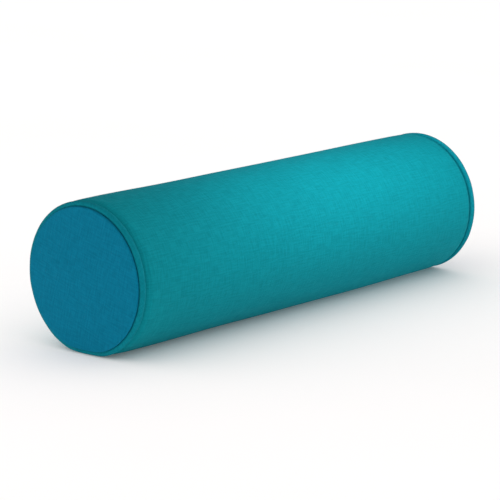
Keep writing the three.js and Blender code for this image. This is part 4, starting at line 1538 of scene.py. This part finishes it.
class BOLSTER_OT_stage(bpy.types.Operator):
    """Set up the floor, the soft light and the camera"""

    bl_idname = "bolster.stage"
    bl_label = "Stage"

    def execute(self, context):
        stage = context.scene.bolster_stage
        floor = self.floor()
        self.sky(context.scene, stage)
        self.lamps(stage, floor)
        self.camera(context.scene, stage)
        context.scene.view_settings.view_transform = "Standard"
        return {"FINISHED"}

    def floor(self):
        """A wide floor."""
        half = 30.0
        corners = [(-half, -half, 0), (half, -half, 0), (half, half, 0), (-half, half, 0)]
        mesh = new_mesh("floor", corners, [(0, 1, 2, 3)])
        floor = linked("floor", mesh)
        floor.location.z = -0.0001  # clear of the bolster's flat underside
        mesh.materials.append(floor_with_painted_glow("studio floor"))
        return floor

    def sky(self, scene, stage):
        """A white studio: a soft sky over a bright backdrop that rises behind the floor."""
        world = bpy.data.worlds.new("studio")
        world.use_nodes = True
        shader = Shader(world.node_tree)
        sky = world.node_tree.nodes["Background"]
        sky.inputs["Color"].default_value = (1.0, 1.0, 1.0, 1.0)
        way = shader.add("ShaderNodeTexCoord").outputs["Generated"]
        front = shader.towards(way, (-0.5, -0.87, 0.0))
        share = shader.ramp(front, -1.0, 1.0, 0.5 * stage.sky, 1.5 * stage.sky)
        backdrop = shader.ramp(shader.towards(way, (-0.6, 0.8, 0.0)), -0.4, 0.2, 0.3, 1.0)
        rise = shader.add("ShaderNodeSeparateXYZ", {"Vector": way}).outputs["Z"]
        backdrop = shader.math("MULTIPLY", backdrop, shader.ramp(rise, 0.2, 0.45, 1.0, 0.0))
        rest = shader.math("SUBTRACT", 1.0, share)
        shader.feed(sky.inputs["Strength"], shader.math("MULTIPLY_ADD", backdrop, rest, share))
        scene.world = world

    def lamps(self, stage, floor):
        """A broad soft light that only the floor takes, and lamps that it doesn't take: a softbox
        over the bolster, a broad fill at its end and a glow from under the table."""
        sun = bpy.data.lights.new("floor_light", "SUN")
        sun.angle = math.radians(150)
        self.hung(sun, stage.floor_light, (0.1, 0.5, 2.0), floor, "INCLUDE")
        lamps = (
            ("softbox", stage.softbox, 0.3, (0.09, -0.23, 0.36)),
            ("fill", stage.fill, 1.2, (-1.65, -0.77, 0.85)),
            ("table_glow", stage.table_glow, 0.3, (0.2, -0.1, -0.3)),
        )
        for name, power, size, place in lamps:
            lamp = bpy.data.lights.new(name, "AREA")
            lamp.size = size
            linking = self.hung(lamp, power, place, floor, "EXCLUDE").light_linking
        linking.blocker_collection = linking.receiver_collection  # the glow passes the floor

    def hung(self, lamp, power, place, floor, link):
        """Hangs a lamp, aims it across at the bolster, and has it light only the floor (INCLUDE)
        or everything but the floor (EXCLUDE)."""
        lamp.energy = power
        holder = linked(lamp.name, lamp)
        holder.location = place
        aim = Vector((np.clip(place[0], -0.2, 0.2), 0, AXIS_Z)) - holder.location
        holder.rotation_euler = aim.to_track_quat("-Z", "Y").to_euler()
        holder.visible_camera = False
        takers = bpy.data.collections.new(f"{lamp.name}_takers")
        takers.objects.link(floor)
        takers.collection_objects[0].light_linking.link_state = link
        holder.light_linking.receiver_collection = takers
        return holder

    def camera(self, scene, stage):
        """A long lens at the bolster's middle."""
        camera = bpy.data.cameras.new("camera")
        camera.lens = stage.focal_length
        camera.sensor_width = 36.0
        camera.shift_x, camera.shift_y = stage.shift
        camera.clip_start, camera.clip_end = 0.05, 100.0
        holder = linked("camera", camera)
        around, up = math.radians(stage.azimuth), math.radians(stage.elevation)
        flat = Vector((math.sin(around), -math.cos(around), 0)) * math.cos(up)
        towards = flat + Vector((0, 0, math.sin(up)))
        holder.location = Vector((0, 0, AXIS_Z)) + stage.distance * towards
        holder.rotation_euler = (-towards).to_track_quat("-Z", "Y").to_euler()
        scene.camera = holder


# ---------------------------------------------------------------- add-on

OPERATORS = (
    BOLSTER_OT_stage,
    BOLSTER_OT_body_panel,
    BOLSTER_OT_end_panels,
    BOLSTER_OT_piping,
    BOLSTER_OT_casing,
    BOLSTER_OT_filling,
    BOLSTER_OT_zip_tapes,
    BOLSTER_OT_zip_coils,
    BOLSTER_OT_slider,
    BOLSTER_OT_pull,
    BOLSTER_OT_stops,
    BOLSTER_OT_stitching,
)


class BOLSTER_PT_panel(bpy.types.Panel):
    """Sizes, colours and pieces of the bolster"""

    bl_label = "Bolster"
    bl_idname = "BOLSTER_PT_panel"
    bl_space_type = "VIEW_3D"
    bl_region_type = "UI"
    bl_category = "Bolster"

    def draw(self, context):
        for settings in ("bolster_sewing", "bolster_colours", "bolster_stage"):
            group = getattr(context.scene, settings)
            box = self.layout.box()
            for name in group.bl_rna.properties.keys():
                if name not in ("name", "rna_type"):
                    box.prop(group, name)
        for operator in OPERATORS:
            self.layout.operator(operator.bl_idname)


GROUPS = {
    "bolster_sewing": BolsterSewing,
    "bolster_colours": BolsterColours,
    "bolster_stage": BolsterStage,
}


def register():
    """Registers the settings, the operators and the panel."""
    for name, group in GROUPS.items():
        bpy.utils.register_class(group)
        setattr(bpy.types.Scene, name, bpy.props.PointerProperty(type=group))
    for operator in OPERATORS:
        bpy.utils.register_class(operator)
    bpy.utils.register_class(BOLSTER_PT_panel)


def unregister():
    """Removes what register made."""
    bpy.utils.unregister_class(BOLSTER_PT_panel)
    for operator in reversed(OPERATORS):
        bpy.utils.unregister_class(operator)
    for name, group in GROUPS.items():
        delattr(bpy.types.Scene, name)
        bpy.utils.unregister_class(group)


def main():
    """Builds every piece and the stage."""
    register()
    for operator in OPERATORS:
        category, name = operator.bl_idname.split(".")
        getattr(getattr(bpy.ops, category), name)()


if __name__ == "__main__":
    main()
